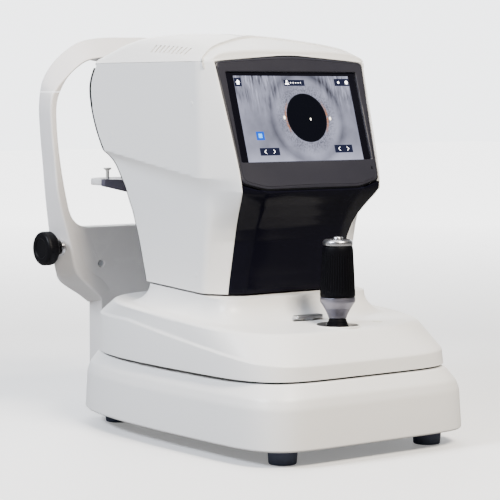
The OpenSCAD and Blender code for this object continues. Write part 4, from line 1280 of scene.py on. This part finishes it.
ring_lo, ring_hi = box("objective_ring")
AXIS_Z = (ring_lo[2] + ring_hi[2]) / 2
rows = []
for v in np.linspace(0, 1, 90):
    row = []
    for c in range(-26, 27):
        z = START_Z
        for _ in range(3):
            b = rear_y(z)
            start = math.asin(1 - panel_depth(z) / REAR_R) + 0.035
            flat_w = side_x(b - REAR_R, z) - REAR_R
            if abs(c) >= 16:
                a = math.pi / 2 - (math.pi / 2 - start) * (abs(c) - 16) / 10
                x = math.copysign(flat_w + REAR_R * math.cos(a), c)
                y = b - REAR_R + REAR_R * math.sin(a)
            else:
                x, y = flat_w * c / 16, b
            z = cut_z(y) + 0.3 + (389.8 - cut_z(y)) * v
        row.append((x, y, z))
    rows.append(row)
back = make("patient_fascia", *walled(rows, 4.0, (0, 0, 280)), BLACK_GLOSS, "head", "black_gloss",
            ["patient_panel"], sharp=40)
cut(back, *placed(rod(33.2, -60, 60, 96), to_y((0, 130, AXIS_Z))))

to_patient = to_y((0, 0, AXIS_Z))
ry0, ry1 = ring_lo[1], ring_hi[1]
turned("objective_bezel", ring_profile(
    [(24, ry0), (32.9, ry0), (32.9, ry1 - 1.2), (31.6, ry1), (30.2, ry1), (29.4, ry1 - 1.4),
     (28.2, ry1 - 1.4), (26.8, ry1 - 4), (24, ry1 - 5)], 0.5),
       to_patient, BLACK, "head", "black_plastic", ["objective_ring"], 128)
lamp_mat = surface("lamp_lens", (0.35, 0.03, 0.03), 0.12, spread=0.1, coat=0.8, depth=0.00001)
for k in range(6):
    a = math.radians(60 * k + 30)
    m = to_patient @ Matrix.Translation((28.8 * math.cos(a), 28.8 * math.sin(a), ry1 - 2.2))
    turned(f"guide_lamp_{k}", [(0, -1), (1.1, -1), (1.1, 0.3), (0.8, 0.9), (0, 1.15)], m,
           lamp_mat, "head", "black_plastic", n=20)

# ---- face rest ------------------------------------------------------------------------

rest_lo, rest_hi = box("face_rest_lower")
REST_Y, REST_BACK = rest_lo[1], rest_hi[1]
# Half of the frame from its foot to its top: front outer, rear outer and inner points, x and z.
STATIONS = [
    ((70, 131), (73, 126), (58, 142)), ((77, 138), (84, 134), (66, 152)),
    ((100, 158.5), (112, 153), (86, 166)), ((105, 166), (116, 164), (92, 174)),
    ((112, 196), (122, 195), (99, 198)), ((120, 223), (125.5, 221), (109.5, 225)),
    ((127, 250), (128.5, 249), (116, 250)), ((131, 285), (131.5, 285), (122.5, 285)),
    ((134.5, 320), (134.5, 320), (126.5, 320)), ((135.5, 349), (135.5, 352), (127, 349)),
    ((131.5, 364), (131, 376), (122.5, 364)), ((112, 384), (118, 396), (110.5, 382)),
    ((92, 398.2), (99, 412), (90.5, 396.5)), ((77, 402), (82, 421), (76, 400.5)),
    ((60, 403.5), (60, 425.5), (60, 402)), ((0, 404.5), (0, 427.5), (0, 403))]


def spline(points, steps):
    """Centripetal curve through points, so that close points don't make it overshoot."""
    pts = [np.array(p, float) for p in points]
    pts = [2 * pts[0] - pts[1]] + pts + [2 * pts[-1] - pts[-2]]
    out = []
    for i in range(1, len(pts) - 2):
        p0, p1, p2, p3 = pts[i - 1:i + 3]
        ts = [0.0]
        for a, b in ((p0, p1), (p1, p2), (p2, p3)):
            ts.append(ts[-1] + max(1e-6, np.linalg.norm(b - a)) ** 0.5)

        def between(a, b, ta, tb, t):
            return (tb - t) / (tb - ta) * a + (t - ta) / (tb - ta) * b

        for k in range(steps):
            t = ts[1] + (ts[2] - ts[1]) * k / steps
            a1 = between(p0, p1, ts[0], ts[1], t)
            a2 = between(p1, p2, ts[1], ts[2], t)
            a3 = between(p2, p3, ts[2], ts[3], t)
            b1, b2 = between(a1, a2, ts[0], ts[2], t), between(a2, a3, ts[1], ts[3], t)
            out.append(between(b1, b2, ts[1], ts[2], t))
    out.append(pts[-2])
    return out


half = spline([[*s[0], *s[1], *s[2]] for s in STATIONS], 8)
path = [(-1, s) for s in half] + [(1, s) for s in reversed(half[:-1])]
rest_rings = []
for side, s in path:
    corners = [(side * s[0], REST_Y, s[1]), (side * s[4], REST_Y + 1, s[5]),
               (side * s[4], REST_BACK, s[5]), (side * s[2], REST_BACK, s[3])]
    rest_rings.append(soften(corners, [2.6, 1.6, 2.0, 3.2], 5))
SPLIT = 364.0  # height of the joint between the legs and the arch


def half_of(name, keep_above, nodes):
    o = make(name, *loft(rest_rings), WHITE_PAINTED_SHADE, "base", "white_shell", nodes, sharp=40)
    bm = bmesh.new()
    bm.from_mesh(o.data)
    z = (SPLIT + (0.25 if keep_above else -0.25)) * MM
    geom = bm.verts[:] + bm.edges[:] + bm.faces[:]
    bmesh.ops.bisect_plane(bm, geom=geom, plane_co=(0, 0, z), plane_no=(0, 0, 1), dist=1e-7,
                           clear_inner=keep_above, clear_outer=not keep_above)
    bmesh.ops.holes_fill(bm, edges=[e for e in bm.edges if e.is_boundary], sides=0)
    bmesh.ops.recalc_face_normals(bm, faces=bm.faces)
    bm.to_mesh(o.data)
    bm.free()
    shade(o, 40)
    bevel(o, 0.45, 2, 60)


half_of("rest_arch", True, ["face_rest_arch"])
half_of("rest_legs", False, ["face_rest_lower"])


def curve2(p0, p1, p2, n=12):
    """Points of a curve that leaves p0 and reaches p2 in the direction of p1."""
    p0, p1, p2 = (np.array(p, float) for p in (p0, p1, p2))
    share = np.linspace(0, 1, n)
    return [tuple((1 - t) ** 2 * p0 + 2 * t * (1 - t) * p1 + t * t * p2) for t in share]


# the web between the legs, with its screws, pocket and slot for the chin rest
web_half = [(70, rest_lo[2]), (70, 131), (77, 138), (100, 158.5), (105, 166), (111, 196),
            (113.5, 222), (113.5, 232)]
web_half += curve2((111.6, 232), (106.0, 214.0), (86, 213.2)) + [(40, 213)]
web_loop = web_half + [(-x, z) for x, z in reversed(web_half)]
WEB_Y = REST_Y + 1.0
SCREW_X, SCREW_Z = 70, 172


def in_depths(loop, *depths):
    """A solid with the same outline, in x and z, at each depth."""
    return loft([[(x, y, z) for x, z in loop] for y in depths])


web = make("rest_web", *in_depths(web_loop, WEB_Y, REST_BACK), WHITE_PAINTED_SHADE, "base", "white_shell")


def inset_loop(points, t):
    """A closed outline moved inwards by t."""
    p = np.array(points, float)
    e = unit(np.roll(p, -1, 0) - p)
    nrm = np.stack([-e[:, 1], e[:, 0]], 1)
    prev = np.roll(nrm, 1, 0)
    bis = unit(nrm + prev)
    reach = t / np.maximum(0.5, np.sum(bis * nrm, axis=1, keepdims=True))
    area = np.sum(p[:, 0] * np.roll(p[:, 1], -1) - np.roll(p[:, 0], -1) * p[:, 1])
    return p + bis * reach * (1 if area > 0 else -1)


pocket_half = web_half[:6] + [(112.0, 206)] + curve2((108, 215), (101, 213), (86, 213), 6)
pocket_half += [(40, 213)]
pocket_loop = pocket_half + [(-x, z) for x, z in reversed(pocket_half)]
cut(web, *in_depths(inset_loop(pocket_loop, 3.0), WEB_Y + 3.2, REST_BACK + 2))
for x in (-SCREW_X, SCREW_X):
    cut(web, *placed(rod(3.4, -10, 10, 40), to_y((x, WEB_Y + 2, SCREW_Z))))
cut(web, *block((-8.2, 172.5, 200), (8.2, REST_BACK + 3, 222)))
bevel(web, 0.8, 3, 50)
for x, tag in ((-SCREW_X, "left"), (SCREW_X, "right")):
    sink = lathe([(0, 0), (5.4, 0), (3.2, 2.2), (0, 2.2)], 40)
    cut(web, *placed(sink, to_y((x, WEB_Y - 0.5, SCREW_Z))))
    screw_head(f"rest_screw_{tag}", (x, WEB_Y + 3.4, SCREW_Z), (0, -1, 0), 2.8)
back_rings = []
for t, depth in ((3.25, 2.5), (3.25, 0.7), (3.5, 0.2), (4.0, 0)):
    back_rings.append([(x, REST_BACK - depth, z) for x, z in inset_loop(pocket_loop, t)])
back_plate = make("rest_back_plate", *loft(back_rings), WHITE_PAINTED_SHADE, "base", "white_shell",
                  ["face_rest_back"])
cut(back_plate, *block((-7.9, REST_BACK - 5, 203), (7.9, REST_BACK + 3, 222)))

# knob
kn_lo, kn_hi = box("chin_knob")
KY, KZ = (kn_lo[1] + kn_hi[1]) / 2, (kn_lo[2] + kn_hi[2]) / 2
KR = (kn_hi[2] - kn_lo[2]) / 2
k0 = kn_lo[0]
at_knob = to_x((k0, KY, KZ))
knob_prof = soften([(0, 1.2), (KR - 8.5, 1.2), (KR - 7.5, 0), (KR - 2.5, 0), (KR, 2.6), (KR, 12.5),
                    (KR - 2.8, 15.2), (8.8, 16.8), (8.5, 21.8), (4, 21.8), (4, 155), (0, 155)],
                   [0, 0.5, 0.6, 1.8, 1.8, 1.6, 1.5, 1.5, 0.5, 0, 0, 0], 5, False)


def knurl(a, z):
    """Fine ribs round the knob's rim."""
    inside = 1.0 if 2.2 < z < 13.4 else 0.0
    return 0.32 * inside * (0.5 - 0.5 * math.cos(60 * a))


turned("height_knob", knob_prof, at_knob, BLACK, "chin_knob", "black_plastic", ["chin_knob"], 240,
       knurl, 40)
bx0 = box("knob_bush")[0][0] - k0
turned("knob_collar", ring_profile(
    [(4.05, bx0), (8.2, bx0), (9.5, bx0 + 1.1), (9.5, bx0 + 2.4), (8.9, bx0 + 2.9), (9.3, bx0 + 3.4),
     (9.3, bx0 + 4.5), (5.9, bx0 + 4.5), (5.9, bx0 + 13), (4.05, bx0 + 13)], 0.25),
       at_knob, CHROME, "base", "chrome", ["knob_bush"])

# chin rest
cup_lo, cup_hi = box("chin_cup")
CA = cup_hi[0]


def cup_outline(inset):
    y0, y1 = cup_lo[1] + inset, cup_hi[1] - inset
    a = CA - inset
    turns = [math.pi * k / 48 for k in range(49)]
    front = [(a * math.cos(t), y0 + 16 + (y1 - y0 - 16) * math.sin(t) ** 0.9) for t in turns]
    return [(a, y0)] + front + [(-a, y0)]


cz0, cz1 = cup_lo[2], cup_hi[2]


def dish(x, y):
    """Hollow of the chin cup, deepest in its middle."""
    u = 1 - (x / (CA - 3)) ** 2
    v = (y - cup_lo[1]) / (cup_hi[1] - cup_lo[1])
    return 3.4 * max(0.0, u) * min(1.0, 0.35 + v)


# Insets and heights of the cup's rings; the last ones follow its hollow.
CUP = [(1.6, cz0), (0.5, cz0 + 0.4), (0, cz0 + 1.2), (0, cz1 - 1.5), (0.5, cz1 - 0.5)]
cup_rings = [[(x, y, z) for x, y in cup_outline(inset)] for inset, z in CUP]
for inset in (1.6, 4, 8, 13, 18, 20.5):
    sunk = min(1.0, (inset - 1.5) / 6.0)
    cup_rings.append([(x, y, cz1 - dish(x, y) * sunk) for x, y in cup_outline(min(inset, 20.0))])
make("chin_cup_shell", *loft(cup_rings), WHITE_PAINTED_SHADE, "chin_rest", "white_shell", ["chin_cup"],
     sharp=45)
bevel(frame["nodes"]["chin_bracket"], 1.2, 3, 30)

pin_lo, pin_hi = box("chin_pins")
pz0, pz1 = pin_lo[2], pin_hi[2]
peg = lathe([(0, pz0), (1.6, pz0), (2, pz0 + 0.5), (2, pz1 - 3.4), (2.9, pz1 - 2.6), (4.3, pz1 - 1.8),
             (4.6, pz1 - 1.2), (4.5, pz1 - 0.5), (4.0, pz1), (0, pz1)], 48)
peg_x, peg_y = pin_hi[0] - 4.6, (pin_lo[1] + pin_hi[1]) / 2
pegs = [placed(peg, Matrix.Translation((side * peg_x, peg_y, 0))) for side in (-1, 1)]
make("paper_pegs", *joined(*pegs), CREAM, "chin_pins", "button_plastic", ["chin_pins"])

# forehead pad: a soft crowned strip on the arch
pad_lo, pad_hi = box("forehead_rest")
pad_mid, pad_half = (pad_lo[2] + pad_hi[2]) / 2, (pad_hi[2] - pad_lo[2]) / 2 - 0.4
PAD_DEPTH = 8.6
pad_rings = []
for k in range(41):
    u = -1 + 2 * k / 40
    bow = (pad_hi[1] - pad_lo[1] - 9.5) * (abs(u) ** 2)
    swell = math.sqrt(max(0.0, 1 - abs(u) ** 10)) * 0.96 + 0.04
    ring = []
    for j in range(28):
        a = 2 * math.pi * j / 28
        dy = bulge(math.cos(a), 2.8) * PAD_DEPTH / 2 * swell
        dz = bulge(math.sin(a), 2.8) * pad_half * swell
        y = pad_lo[1] + PAD_DEPTH / 2 + 0.3 + bow + dy
        ring.append((u * (pad_hi[0] - 0.5), y, pad_mid + dz))
    pad_rings.append(ring)
pad = make("forehead_pad", *loft(pad_rings), PAD, "base", "pad_rubber", ["forehead_rest"], sharp=50)

# ---- caps over the side covers' screws ------------------------------------------------

cap = soften([(0, -2), (2.6, -2), (2.6, 0.2), (1.9, 0.35), (0, 0.3)], [0, 0, 0.25, 0.2, 0], 3,
             False)
for tag, y, z in (("front", -70.0, 352.0), ("rear", 78.0, 318.0), ("low", -62.0, 176.0)):
    for s, side in ((-1, "left"), (1, "right")):
        m = (Matrix.Translation((s * (side_x(y, z) + 0.05), y, z))
             @ Matrix.Rotation(s * math.pi / 2, 4, "Y"))
        turned(f"screw_cap_{tag}_{side}", cap, m, WHITE, "head", "white_shell", n=32)
